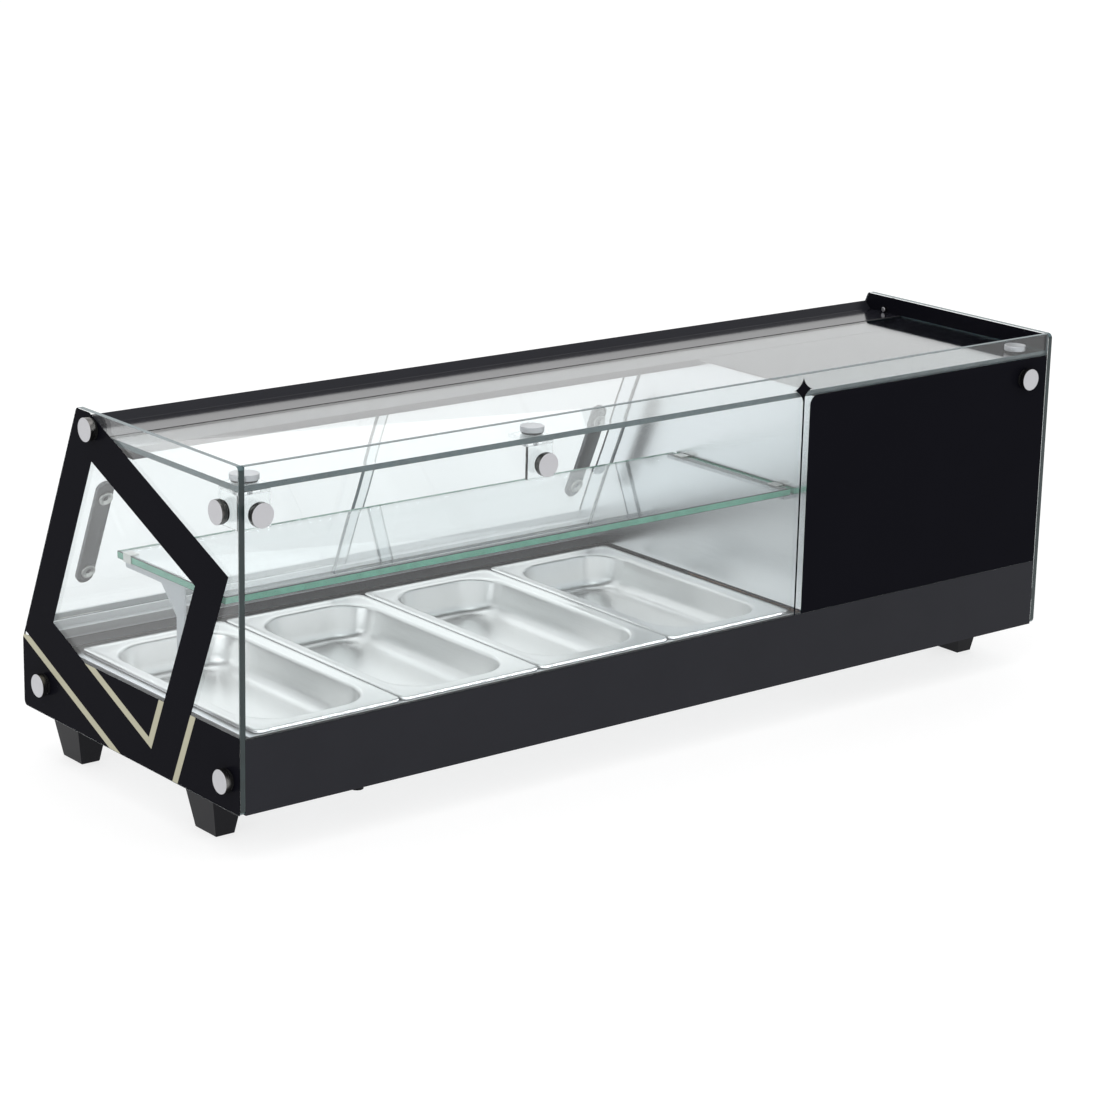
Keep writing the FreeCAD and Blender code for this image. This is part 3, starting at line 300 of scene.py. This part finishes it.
# Bare metal.
# Brushed sheet, pressed pans and turned caps share one grain: fine scratches drawn out along
# the rolling direction, which spread the highlights across them.
def build_brushed_group():
    """Drawn-out scratches with faint patches, as roughness, relief and shade."""
    group, start, end = new_group("brushed_metal",
                                  {"Along X": 6.0, "Along Y": 600.0, "Along Z": 600.0, "Roughness": 0.25,
                                   "Spread": 0.12, "Relief": 0.05},
                                  {"Roughness": "NodeSocketFloat", "Normal": "NodeSocketVector",
                                   "Shade": "NodeSocketFloat"})
    place = group.nodes.new("ShaderNodeTexCoord").outputs["Object"]
    stretch = group.nodes.new("ShaderNodeCombineXYZ")
    for axis in "XYZ":
        group.links.new(start.outputs[f"Along {axis}"], stretch.inputs[axis])
    drawn = group.nodes.new("ShaderNodeVectorMath")
    drawn.operation = "MULTIPLY"
    group.links.new(place, drawn.inputs[0])
    group.links.new(stretch.outputs[0], drawn.inputs[1])
    scratches = add_noise(group, drawn.outputs[0], 1, 3)
    patches = add_noise(group, place, 7, 3)
    both = math_node(group, "ADD", math_node(group, "MULTIPLY", scratches, 0.6),
                     math_node(group, "MULTIPLY", patches, 0.4))
    centred = math_node(group, "SUBTRACT", both, 0.5)
    spread = math_node(group, "MULTIPLY", centred, start.outputs["Spread"])
    group.links.new(math_node(group, "ADD", start.outputs["Roughness"], spread), end.inputs["Roughness"])
    shade = math_node(group, "MULTIPLY", centred, 0.14)
    group.links.new(math_node(group, "ADD", 1, shade), end.inputs["Shade"])
    bump = group.nodes.new("ShaderNodeBump")
    bump.inputs["Distance"].default_value = 0.0002
    group.links.new(start.outputs["Relief"], bump.inputs["Strength"])
    group.links.new(scratches, bump.inputs["Height"])
    group.links.new(bump.outputs["Normal"], end.inputs["Normal"])
    return group


brushed_metal = build_brushed_group()


def metal_material(name, colour, roughness, along="X", fine=600.0, spread=0.12, relief=0.05):
    """Bare metal with its grain running along one axis."""
    made, tree, shader = plain_material(name, colour, roughness, 1.0)
    grain = tree.nodes.new("ShaderNodeGroup")
    grain.node_tree = brushed_metal
    for axis in "XYZ":
        grain.inputs[f"Along {axis}"].default_value = fine / 60 if axis == along else fine
    for label, number in (("Roughness", roughness), ("Spread", spread), ("Relief", relief)):
        grain.inputs[label].default_value = number
    tree.links.new(grain.outputs["Roughness"], shader.inputs["Roughness"])
    tree.links.new(grain.outputs["Normal"], shader.inputs["Normal"])
    shade = tree.nodes.new("ShaderNodeVectorMath")
    shade.operation = "SCALE"
    shade.inputs[0].default_value = colour
    tree.links.new(grain.outputs["Shade"], shade.inputs["Scale"])
    tree.links.new(shade.outputs["Vector"], shader.inputs["Base Color"])
    return made


galvanised = metal_material("galvanised_sheet", (0.5, 0.52, 0.53), 0.42, fine=90, spread=0.3)
zinc = metal_material("zinc_plate", (0.62, 0.62, 0.6), 0.3, along="Z")
copper = metal_material("drawn_copper", (0.78, 0.42, 0.27), 0.28, along="Y")
stainless = metal_material("brushed_stainless", (0.80, 0.81, 0.82), 0.2, along="Z", spread=0.1)
dress(frame["nodes"]["base_bottom_cover"], galvanised)
dress(frame["nodes"]["foot_screws"], zinc)
dress(frame["nodes"]["evaporator_coil"], copper)


# The cooled well.
# A stainless tub set in cream foam. Its wide flange carries the pans, with a bar across
# under each joint between two of them, and the copper cold coil lies on its floor.
well_steel = metal_material("well_steel", (0.88, 0.89, 0.92), 0.36, along="X", relief=0.0)
dress(frame["nodes"]["well_liner"], well_steel)
dress(frame["nodes"]["pan_crossbars"], stainless)
foam_cream = coated_material("rigid_foam", (0.84, 0.78, 0.6), 0.85, grain=300, relief=0.5)
dress(frame["nodes"]["insulation_foam"], foam_cream)


# The four pans.
# Each is deep-drawn from one stainless sheet: a bowl with big soft corners, a flat flange,
# and an outer edge turned down all round so that it stiffens the rim.
def rounded_outline(half_x, half_y, radius, height, per_corner=14):
    """Points of a rounded rectangle, anticlockwise, the same number for any size."""
    points = []
    for quarter, (sign_x, sign_y) in enumerate(((1, 1), (-1, 1), (-1, -1), (1, -1))):
        for step in range(per_corner + 1):
            turn = math.radians(90 * quarter + 90 * step / per_corner)
            points.append(Vector((sign_x * (half_x - radius) + radius * math.cos(turn),
                                  sign_y * (half_y - radius) + radius * math.sin(turn), height)))
    return points


def press_sheet(name, rings, middle):
    """A sheet drawn through one outline after another, then closed across the last."""
    first = rounded_outline(*rings[0])
    bpy.ops.object.select_all(action="DESELECT")
    bpy.ops.mesh.primitive_circle_add(vertices=len(first), radius=0.1, location=(0, 0, 0))
    piece = bpy.context.active_object
    piece.name = name
    for vertex, point in zip(piece.data.vertices, first):
        vertex.co = point + middle
    bpy.ops.object.mode_set(mode="EDIT")
    bpy.ops.mesh.select_all(action="SELECT")
    earlier = first
    for ring in rings[1:]:
        bpy.ops.mesh.extrude_region_move()
        outline = rounded_outline(*ring)
        edit = bmesh.from_edit_mesh(piece.data)
        for vertex in [each for each in edit.verts if each.select]:
            at = vertex.co - middle
            nearest = min(range(len(earlier)), key=lambda spot: (earlier[spot] - at).length_squared)
            vertex.co = outline[nearest] + middle
        bmesh.update_edit_mesh(piece.data)
        earlier = outline
    bpy.ops.mesh.fill_grid(span=len(first) // 4)
    bpy.ops.mesh.select_all(action="SELECT")
    bpy.ops.mesh.normals_make_consistent(inside=False)
    bpy.ops.object.mode_set(mode="OBJECT")
    return piece


def bowl_curve(half_x, half_y, corner, top, bottom, taper, brim, foot):
    """Rings from the brim's bend, down the wall and round the foot's bend."""
    rings = []
    for step in range(5):
        turn = math.radians(90 * step / 4)
        inward = brim * math.sin(turn)
        rings.append((half_x + brim - inward, half_y + brim - inward, corner + brim - inward,
                      top - brim * (1 - math.cos(turn))))
    for step in range(7):
        turn = math.radians(90 * step / 6)
        inward = taper + foot * (1 - math.cos(turn))
        rings.append((half_x - inward, half_y - inward, corner - inward,
                      bottom + foot * (1 - math.sin(turn))))
    return rings


pan_steel = metal_material("pressed_pan_steel", (0.90, 0.90, 0.895), 0.3, along="Y", fine=900, spread=0.02,
                           relief=0.0)
sheet_thick = 0.0008
skirt = 0.0035
bead = 0.0012
outer_corner = 0.008
flange_start = 0.0065
flange_drop = 0.0006
flange_corner = 0.013
bowl_corner = 0.043
wall_taper = 0.0045
brim_bend = 0.0045
foot_bend = 0.017
for number in range(1, 5):
    node = f"pan_{number}"
    pan_low, pan_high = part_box(node)
    middle = Vector(((pan_low.x + pan_high.x) / 2, (pan_low.y + pan_high.y) / 2, 0))
    half_x = (pan_high.x - pan_low.x) / 2
    half_y = (pan_high.y - pan_low.y) / 2
    top = pan_high.z
    rings = [(half_x, half_y, outer_corner, top - skirt), (half_x, half_y, outer_corner, top - bead),
             (half_x - bead * 0.3, half_y - bead * 0.3, outer_corner - 0.0003, top - bead * 0.3),
             (half_x - bead, half_y - bead, outer_corner - 0.001, top)]
    for inward, drop in ((flange_start, 0), (flange_start + 0.001, flange_drop)):
        rings.append((half_x - inward, half_y - inward, flange_corner, top - drop))
    rings += bowl_curve(half_x - 0.0175, half_y - 0.0205, bowl_corner, top - flange_drop,
                        pan_low.z + sheet_thick, wall_taper, brim_bend, foot_bend)
    last = rings[-1]
    rings.append((last[0] - 0.004, last[1] - 0.004, last[2] - 0.003, last[3]))
    pan = press_sheet(f"pressed_pan_{number}", rings, middle)
    thickness = pan.modifiers.new("gauge", "SOLIDIFY")
    thickness.thickness = sheet_thick
    thickness.offset = -1
    bpy.ops.object.modifier_apply(modifier=thickness.name)
    smoothing = pan.modifiers.new("draw", "SUBSURF")
    smoothing.levels = 1
    smoothing.render_levels = 1
    bpy.ops.object.modifier_apply(modifier=smoothing.name)
    bpy.ops.object.shade_smooth_by_angle(angle=math.radians(50))
    dress(pan, pan_steel)
    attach(pan, node)
    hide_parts(node)


# The light strip.
# A white channel behind the front pane's foot carries a row of small bright modules that
# shine back over the pans and streak the stainless partition.
led_white = plain_material("lamp_channel", (0.9, 0.9, 0.9), 0.4)[0]
led_strip = eased("led_strip", "lamp_strip", 0.0003, 1)
glow, _, glow_shader = plain_material("lamp_glow", (1, 1, 1), 0.3)
glow_shader.inputs["Emission Color"].default_value = (1, 1, 1, 1)
glow_shader.inputs["Emission Strength"].default_value = 30
dress(led_strip, led_white, glow)
strip_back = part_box("led_strip")[1].y
for face in led_strip.data.polygons:
    if face.center.y > strip_back - 0.0008:
        face.material_index = 1


# The glass.
# Six millimetre float glass with ground and polished edges. The polished rims are green with a painted
# glow for the light that runs through the glass's depth, and the ground arrises are painted near black
# as shade. Light from the lamps passes straight through it.
def glass_material(name, colour, shadow, roughness=0.0):
    """Clear glass whose shadow is only faintly tinted."""
    made, tree, shader = plain_material(name, colour, roughness)
    shader.inputs["IOR"].default_value = 1.5
    shader.inputs["Transmission Weight"].default_value = 1.0
    place = tree.nodes.new("ShaderNodeTexCoord").outputs["Object"]
    body = tree.nodes.new("ShaderNodeMapRange")
    body.inputs["To Min"].default_value = 0.985
    body.inputs["To Max"].default_value = 1.015
    tree.links.new(add_noise(tree, place, 2, 1), body.inputs["Value"])
    depth = tree.nodes.new("ShaderNodeVectorMath")
    depth.operation = "SCALE"
    depth.inputs[0].default_value = colour
    tree.links.new(body.outputs["Result"], depth.inputs["Scale"])
    tree.links.new(depth.outputs["Vector"], shader.inputs["Base Color"])
    through = tree.nodes.new("ShaderNodeBsdfTransparent")
    through.inputs["Color"].default_value = (*shadow, 1)
    mix = tree.nodes.new("ShaderNodeMixShader")
    path = tree.nodes.new("ShaderNodeLightPath")
    tree.links.new(path.outputs["Is Shadow Ray"], mix.inputs["Fac"])
    tree.links.new(shader.outputs[0], mix.inputs[1])
    tree.links.new(through.outputs[0], mix.inputs[2])
    tree.links.new(mix.outputs[0], tree.nodes["Material Output"].inputs["Surface"])
    return made


def edge_material(name, colour, painted_edge_glow):
    """Ground glass edge, seen end-on: a flat colour with a painted glow standing in for light carried
    through the glass.
    """
    made, tree, shader = plain_material(name, colour, 0.25)
    shader.inputs["IOR"].default_value = 1.5
    # Painted glow: the edge emits light in place of the light carried through the glass, though it is no
    # lamp.
    shader.inputs["Emission Strength"].default_value = painted_edge_glow
    place = tree.nodes.new("ShaderNodeTexCoord").outputs["Object"]
    streak = tree.nodes.new("ShaderNodeMapRange")
    streak.inputs["To Min"].default_value = 0.6
    streak.inputs["To Max"].default_value = 1.4
    tree.links.new(add_noise(tree, place, 60, 3), streak.inputs["Value"])
    shade = tree.nodes.new("ShaderNodeVectorMath")
    shade.operation = "SCALE"
    shade.inputs[0].default_value = colour
    tree.links.new(streak.outputs["Result"], shade.inputs["Scale"])
    for socket in ("Base Color", "Emission Color"):
        tree.links.new(shade.outputs["Vector"], shader.inputs[socket])
    return made


clear_glass = glass_material("clear_float_glass", (0.90, 0.93, 0.935), (0.93, 0.96, 0.96))
# Painted glow: the green rims of the panes and doors emit a faint light.
green_edge_painted_glow = edge_material("polished_green_edge", (0.055, 0.095, 0.105), 0.08)
# Painted shade: the arrises are coloured near black where the glass edges fall dark.
arris_painted_shade = edge_material("ground_arris", (0.012, 0.024, 0.025), 0.0)


def pane_from(node, name, thin_axis, edge, ease=0.0009):
    """A pane with ground arrises painted near black as shade and a polished rim with a painted glow, each in
    its own material.
    """
    pane = eased(node, name, ease, 2)
    dress(pane, clear_glass, edge, arris_painted_shade)
    for face in pane.data.polygons:
        facing = abs(face.normal[thin_axis])
        # The front upright edge of an end pane is painted near black as shade, like the arrises.
        upright = thin_axis == X and face.normal.y < -0.9
        face.material_index = 0 if facing > 0.98 else 2 if facing > 0.1 or upright else 1
    return pane


X, Y, Z = range(3)
for node, thin_axis in (("left_end_glass", X), ("right_end_glass", X), ("front_glass", Y), ("top_glass", Z)):
    pane = pane_from(node, node.replace("_glass", "_pane"), thin_axis, green_edge_painted_glow)


# The black print.
# Ceramic enamel fired onto the panes before they are toughened. The left pane carries a leaning
# square frame and a solid foot with gold lines, the right pane is black all over, and the front
# pane is black over the machine compartment.
print_black = coated_material("fired_black_enamel", (0.005, 0.005, 0.0075), 0.2, grain=400, relief=0.02,
                              shine=0.01, drift=0.08)
print_gold = coated_material("fired_gold_line", (0.40, 0.385, 0.28), 0.35, grain=900, relief=0.05, shine=0.2)
enamel = 0.0002


def flat_piece(name, outline, axis, at, thick, material):
    """A thin flat sheet cut to an outline, lying square to an axis from one place along it."""
    bpy.ops.object.select_all(action="DESELECT")
    bpy.ops.mesh.primitive_circle_add(vertices=len(outline), radius=0.1, location=(0, 0, 0))
    piece = bpy.context.active_object
    piece.name = name
    for vertex, (one, two) in zip(piece.data.vertices, outline):
        spot = [one, two]
        spot.insert(axis, at)
        vertex.co = spot
    bpy.ops.object.mode_set(mode="EDIT")
    bpy.ops.mesh.select_all(action="SELECT")
    bpy.ops.mesh.edge_face_add()
    direction = [0, 0, 0]
    direction[axis] = thick
    bpy.ops.mesh.extrude_region_move(TRANSFORM_OT_translate={"value": direction})
    bpy.ops.mesh.select_all(action="SELECT")
    bpy.ops.mesh.normals_make_consistent(inside=False)
    bpy.ops.object.mode_set(mode="OBJECT")
    dress(piece, material)
    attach(piece, "cabinet")
    return piece


left_low, left_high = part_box("left_end_glass")
door_plane = [joint for joint in frame["joints"] if joint["name"] == "button_set_press"][0]["axis"]
lean = math.atan2(-door_plane[2], -door_plane[1])
window_middle = Vector((0.0115, 0.2113))
window_half = 0.1045
frame_half = 0.1495
gold_wide = 0.0085
foot_line = 0.130
rim = 0.0008
enamel_low = left_low.z + rim
knee_rise = 0.075
up_lean = Vector((-math.sin(lean), math.cos(lean)))
across_lean = Vector((math.cos(lean), math.sin(lean)))


def leaning_spot(up, across):
    """A point given by its distances up and across the leaning window."""
    return window_middle + up_lean * up + across_lean * across


def where_level(height, up=None, across=None):
    """Point of a line of the leaning square, given by its up or across distance, at a height."""
    if up is not None:
        along = (height - window_middle.y - up_lean.y * up) / across_lean.y
        return leaning_spot(up, along)
    along = (height - window_middle.y - across_lean.y * across) / up_lean.y
    return leaning_spot(along, across)


frame_outline = [
    where_level(foot_line, up=-frame_half), leaning_spot(-frame_half, frame_half),
    where_level(left_high.z - rim, across=frame_half), where_level(left_high.z - rim, up=frame_half),
    leaning_spot(frame_half, -frame_half), where_level(foot_line, across=-frame_half),
    where_level(foot_line, across=-window_half), leaning_spot(window_half, -window_half),
    leaning_spot(window_half, window_half), leaning_spot(-window_half, window_half),
    where_level(foot_line, up=-window_half)]
rear_at_line = where_level(foot_line, across=frame_half)
foot_outline = [(left_low.y + rim, enamel_low), (left_high.y - 0.003, enamel_low),
                (left_high.y - rim, enamel_low + 0.003), (left_high.y - rim, left_low.z + knee_rise),
                (rear_at_line.x, foot_line), (left_low.y + rim, foot_line)]
outer_face = left_low.x
flat_piece("left_print_frame", frame_outline, X, outer_face, -enamel, print_black)
flat_piece("left_print_foot", foot_outline, X, outer_face, -enamel, print_black)
frame_line = [where_level(foot_line, up=-frame_half), rear_at_line,
              (left_high.y - 0.001, left_low.z + knee_rise + 0.0022),
              where_level(enamel_low, up=-frame_half - gold_wide), where_level(enamel_low, up=-frame_half)]
window_line = [where_level(foot_line, across=-window_half), leaning_spot(-window_half, -window_half),
               where_level(foot_line, up=-window_half), where_level(foot_line, up=gold_wide - window_half),
               leaning_spot(gold_wide - window_half, gold_wide - window_half),
               where_level(foot_line, across=gold_wide - window_half)]
leg_line = [where_level(foot_line, across=-frame_half), where_level(enamel_low, across=-frame_half),
            where_level(enamel_low, across=-frame_half - gold_wide),
            where_level(foot_line, across=-frame_half - gold_wide)]
for name, outline in (("frame", frame_line), ("window", window_line), ("leg", leg_line)):
    flat_piece(f"gold_line_{name}", outline, X, outer_face - enamel, -enamel, print_gold)

right_low, right_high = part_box("right_end_glass")
set_in = 0.001
crown = where_level(right_high.z - set_in, across=frame_half)
right_outline = [(right_low.y + set_in, right_low.z + set_in), (right_high.y - set_in, right_low.z + set_in),
                 (right_high.y - set_in, left_low.z + knee_rise - set_in), (crown.x, right_high.z - set_in),
                 (right_low.y + set_in, right_high.z - set_in)]
flat_piece("right_print", right_outline, X, right_low.x, -enamel, print_black)

front_low, front_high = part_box("front_glass")
panel_start = 0.178
panel_top = 0.375
turn_in = 0.011
corner = [(panel_start + turn_in - turn_in * math.cos(math.radians(9 * step)),
           panel_top - turn_in + turn_in * math.sin(math.radians(9 * step))) for step in range(11)]
front_rim = 0.0005
panel_foot = front_low.z + front_rim
panel_outline = [(panel_start, panel_foot)] + corner + [
    (front_high.x - front_rim, panel_top), (front_high.x - front_rim, panel_foot)]
flat_piece("front_print", panel_outline, Y, front_low.y, -enamel, print_black)
ornament_middle = Vector((0.167, 0.383))
ornament_reach = 0.0135
ornament = []
for step in range(40):
    turn = math.radians(9 * step)
    reach_across = math.copysign(abs(math.cos(turn)) ** 3, math.cos(turn))
    reach_up = math.copysign(abs(math.sin(turn)) ** 3, math.sin(turn))
    ornament.append(ornament_middle + Vector((reach_across, reach_up)) * ornament_reach)
flat_piece("front_ornament", ornament, Y, front_low.y, -enamel, print_black)
line_half = 0.0011
line_at = ornament_middle.x + 0.0015
line_top = ornament_middle.y - 0.006
line_outline = [(line_at - line_half, panel_foot), (line_at + line_half, panel_foot),
                (line_at + line_half, line_top), (line_at - line_half, line_top)]
flat_piece("front_line", line_outline, Y, front_low.y, -enamel, print_black)


# The caps and their clear angle pieces.
# Turned stainless caps, each on a black washer, screw through the panes into clear moulded
# angles that hold the front, roof and end panes square to each other.
cap_steel = metal_material("turned_cap_steel", (0.50, 0.50, 0.52), 0.3, along="Y", fine=500, spread=0.1)
# Painted reflection: the caps' turned sides are a darker copy of the cap steel, standing in for the dark
# surroundings they reflect.
cap_side_painted_dark = metal_material("turned_cap_side", (0.17, 0.165, 0.16), 0.25, along="Z", fine=400, spread=0.1)
for node, axis, sign in (("left_caps", X, -1), ("right_caps", X, 1),
                         ("front_caps", Y, -1), ("top_caps", Z, 1)):
    caps = eased(node, node.replace("_caps", "_turned_caps"), 0.0007, 3)
    cap_low, cap_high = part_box(node)
    face_at = (cap_low, cap_high)[sign > 0][axis]
    for face in caps.data.polygons:
        face.select = abs(face.center[axis] - face_at) < 0.00005 and face.area > 0.0002
    bpy.ops.object.mode_set(mode="EDIT")
    bpy.ops.mesh.select_mode(type="FACE")
    bpy.ops.mesh.inset(thickness=0.0013, depth=-0.0002)
    bpy.ops.object.mode_set(mode="OBJECT")
    dress(caps, cap_steel, cap_side_painted_dark)
    for face in caps.data.polygons:
        # The sides take the painted dark copy, the faces the lighter steel.
        face.material_index = 1 if axis != Z and abs(face.normal[axis]) < 0.5 else 0
rubber = coated_material("black_rubber", (0.012, 0.012, 0.012), 0.6, grain=1400, relief=0.2, shine=0.2)
washers = dress(eased("cap_washers", "black_washers", 0.0004, 1), rubber)
angle_plastic = glass_material("clear_moulding", (0.97, 0.985, 0.985), (0.95, 0.97, 0.97), 0.03)
angles = dress(eased("glass_brackets", "clear_angles", 0.0008, 2), angle_plastic)


# The beam over the doors.
# A folded black section across the top of the back: a ledge under the roof pane, a glossy flat
# top flush with it, and a raised rim. A gasket closes the joint behind the pane.
gloss_coat = coated_material("gloss_black_top", (0.012, 0.012, 0.016), 0.12, grain=500, relief=0.01,
                             spread=0.04, shine=0.5)
beam = dress(eased("rear_top_beam", "folded_beam", 0.0005), black_coat, gloss_coat)
for face in beam.data.polygons:
    face.material_index = 1 if face.normal.z > 0.97 else 0
dress(frame["nodes"]["top_gasket"], rubber)


# The door rails.
# Two extruded rails of three ribs each lean with the doors: a black one under the beam and a
# silver one on a sill at the foot of the opening.
anodised = metal_material("black_anodised", (0.05, 0.05, 0.055), 0.35, along="X")
silver = metal_material("silver_anodised", (0.90, 0.91, 0.92), 0.42, along="X", spread=0.1)
silver.node_tree.nodes["Principled BSDF"].inputs["Metallic"].default_value = 0.35
for node, finish, slot in (("upper_track", anodised, "black_aluminium"),
                           ("lower_track", silver, "silver_aluminium")):
    rail = dress(eased(node, node.replace("track", "rail"), 0.0003), finish)


# The sliding doors.
# Two plain glass panes on nylon glides. Each has a dark grey flat handle bolted through it,
# with bright washers on the inside, and the bolts' sunken sockets painted near black as shade.
handle_grey = coated_material("handle_grey", (0.022, 0.028, 0.038), 0.32, grain=1500, relief=0.08, shine=0.2)
nylon = coated_material("natural_nylon", (0.8, 0.8, 0.77), 0.5)
# Painted shade: the floor of the sunken socket in each zinc bolt head is coloured near black.
bolt_socket = coated_material("bolt_socket", (0.03, 0.03, 0.03), 0.5, shine=0.1)
for side in ("left", "right"):
    pane = eased(f"door_{side}_glass", f"door_{side}_pane", 0.0005)
    dress(pane, clear_glass, green_edge_painted_glow)
    for face in pane.data.polygons:
        along_door = abs(face.normal.y * math.cos(lean) + face.normal.z * math.sin(lean))
        face.material_index = 0 if along_door > 0.9 else 1
    handle = dress(eased(f"handle_{side}", f"handle_{side}_plate", 0.001, 3), handle_grey)
    bolts = eased(f"handle_{side}_bolts", f"handle_{side}_bolt_set", 0.0006, 3)
    for face in bolts.data.polygons:
        facing_in = face.normal.y * math.cos(lean) + face.normal.z * math.sin(lean)
        face.select = facing_in < -0.98 and face.area > 0.0001
    bpy.ops.object.mode_set(mode="EDIT")
    bpy.ops.mesh.select_mode(type="FACE")
    bpy.ops.mesh.inset(thickness=0.0035, depth=0.0004)
    bpy.ops.mesh.inset(thickness=0.0006, depth=-0.0022)
    bpy.ops.object.mode_set(mode="OBJECT")
    sockets = [face.index for face in bolts.data.polygons if face.select]
    dress(bolts, zinc, bolt_socket)
    for index in sockets:
        bolts.data.polygons[index].material_index = 1
    dress(frame["nodes"][f"door_{side}_glides"], nylon)


# The shelf.
# Eight millimetre glass with a bright green edge that carries a painted glow, carried by a light grey bent
# post at the left and a small angle on the partition, and kept from sliding by four clips.
# Painted glow: the shelf's edge emits light in place of the light carried through the glass.
shelf_edge_painted_glow = edge_material("bright_green_edge", (0.08, 0.28, 0.20), 0.22)
shelf_pane = pane_from("shelf_glass", "shelf_pane", Z, shelf_edge_painted_glow, 0.0008)
bracket_grey = coated_material("light_grey_coat", (0.52, 0.54, 0.57), 0.4)
for side in ("left", "right"):
    bracket = dress(eased(f"shelf_bracket_{side}", f"shelf_arm_{side}", 0.0006, 2), bracket_grey)
clips = dress(eased("shelf_clips", "shelf_clip_set", 0.0003, 1), zinc)


# The partition and the machine compartment's covers.
# A stainless sheet on a foam slab divides the display from the machinery, which has a gloss
# black roof under the glass and a louvred black hatch at the back. A black strip closes the
# slab's foot below the hatch.
partition_steel = metal_material("partition_steel", (0.90, 0.92, 0.94), 0.24, along="Y", fine=900,
                                 spread=0.04, relief=0.0)
partition = dress(eased("partition_liner", "partition_sheet", 0.0002, 1), partition_steel)
roof_cover = dress(eased("machine_top_cover", "compartment_roof", 0.0004, 1), gloss_coat)
hatch = dress(eased("machine_rear_cover", "louvred_hatch", 0.0003, 1), black_coat)
liner_low, liner_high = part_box("partition_liner")
heel_gauge = 0.0006
heel_length = 0.0148
heel_wide = 0.0201
clearance = 0.0001
heel_foot = Vector((liner_high.y, liner_low.z)) + across_lean * clearance
heel_top = heel_foot + up_lean * heel_length
heel_edges = [heel_foot, heel_foot + across_lean * heel_gauge, heel_top + across_lean * heel_gauge, heel_top]
heel = flat_piece("partition_heel", heel_edges, X, liner_low.x + clearance, heel_wide, black_coat)
bevelled(heel, 0.00015, 1)


# The machinery.
# A hermetic compressor on rubber mounts, a finned condenser with its shroud and fan, and
# copper pipes brazed between them and the cold coil in the well.
enamel_black = coated_material("gloss_enamel", (0.012, 0.012, 0.012), 0.2, relief=0.05)
mill_aluminium = metal_material("mill_aluminium", (0.76, 0.77, 0.79), 0.35, along="Z")
fan_plastic = coated_material("fan_plastic", (0.03, 0.03, 0.034), 0.45)
for node, finish in (("compressor", enamel_black), ("compressor_mounts", rubber),
                     ("condenser", mill_aluminium), ("fan_shroud", galvanised),
                     ("fan_motor", galvanised), ("fan_rotor", fan_plastic),
                     ("refrigerant_pipes", copper)):
    dress(frame["nodes"][node], finish)


# The controls.
# A moulded fascia with a sunken screen, three grey keys and two green rockers is set in the
# hatch, and a mains inlet sits in the base below.
panel_plastic = coated_material("fascia_plastic", (0.02, 0.02, 0.023), 0.42, grain=1500, relief=0.2)
fascia = dress(eased("control_fascia", "fascia", 0.0005, 2), panel_plastic)
key_grey = coated_material("key_plastic", (0.3, 0.31, 0.33), 0.35)
for name in ("set", "up", "down"):
    key = dress(eased(f"button_{name}", f"key_{name}", 0.0005, 3), key_grey)
rocker_green = coated_material("rocker_green", (0.01, 0.22, 0.06), 0.25, relief=0.02)
for name in ("power", "light"):
    rocker = dress(eased(f"{name}_rocker", f"{name}_rocker_cap", 0.0007, 3), rocker_green)
socket = dress(eased("power_inlet", "mains_inlet", 0.0006, 2), panel_plastic)
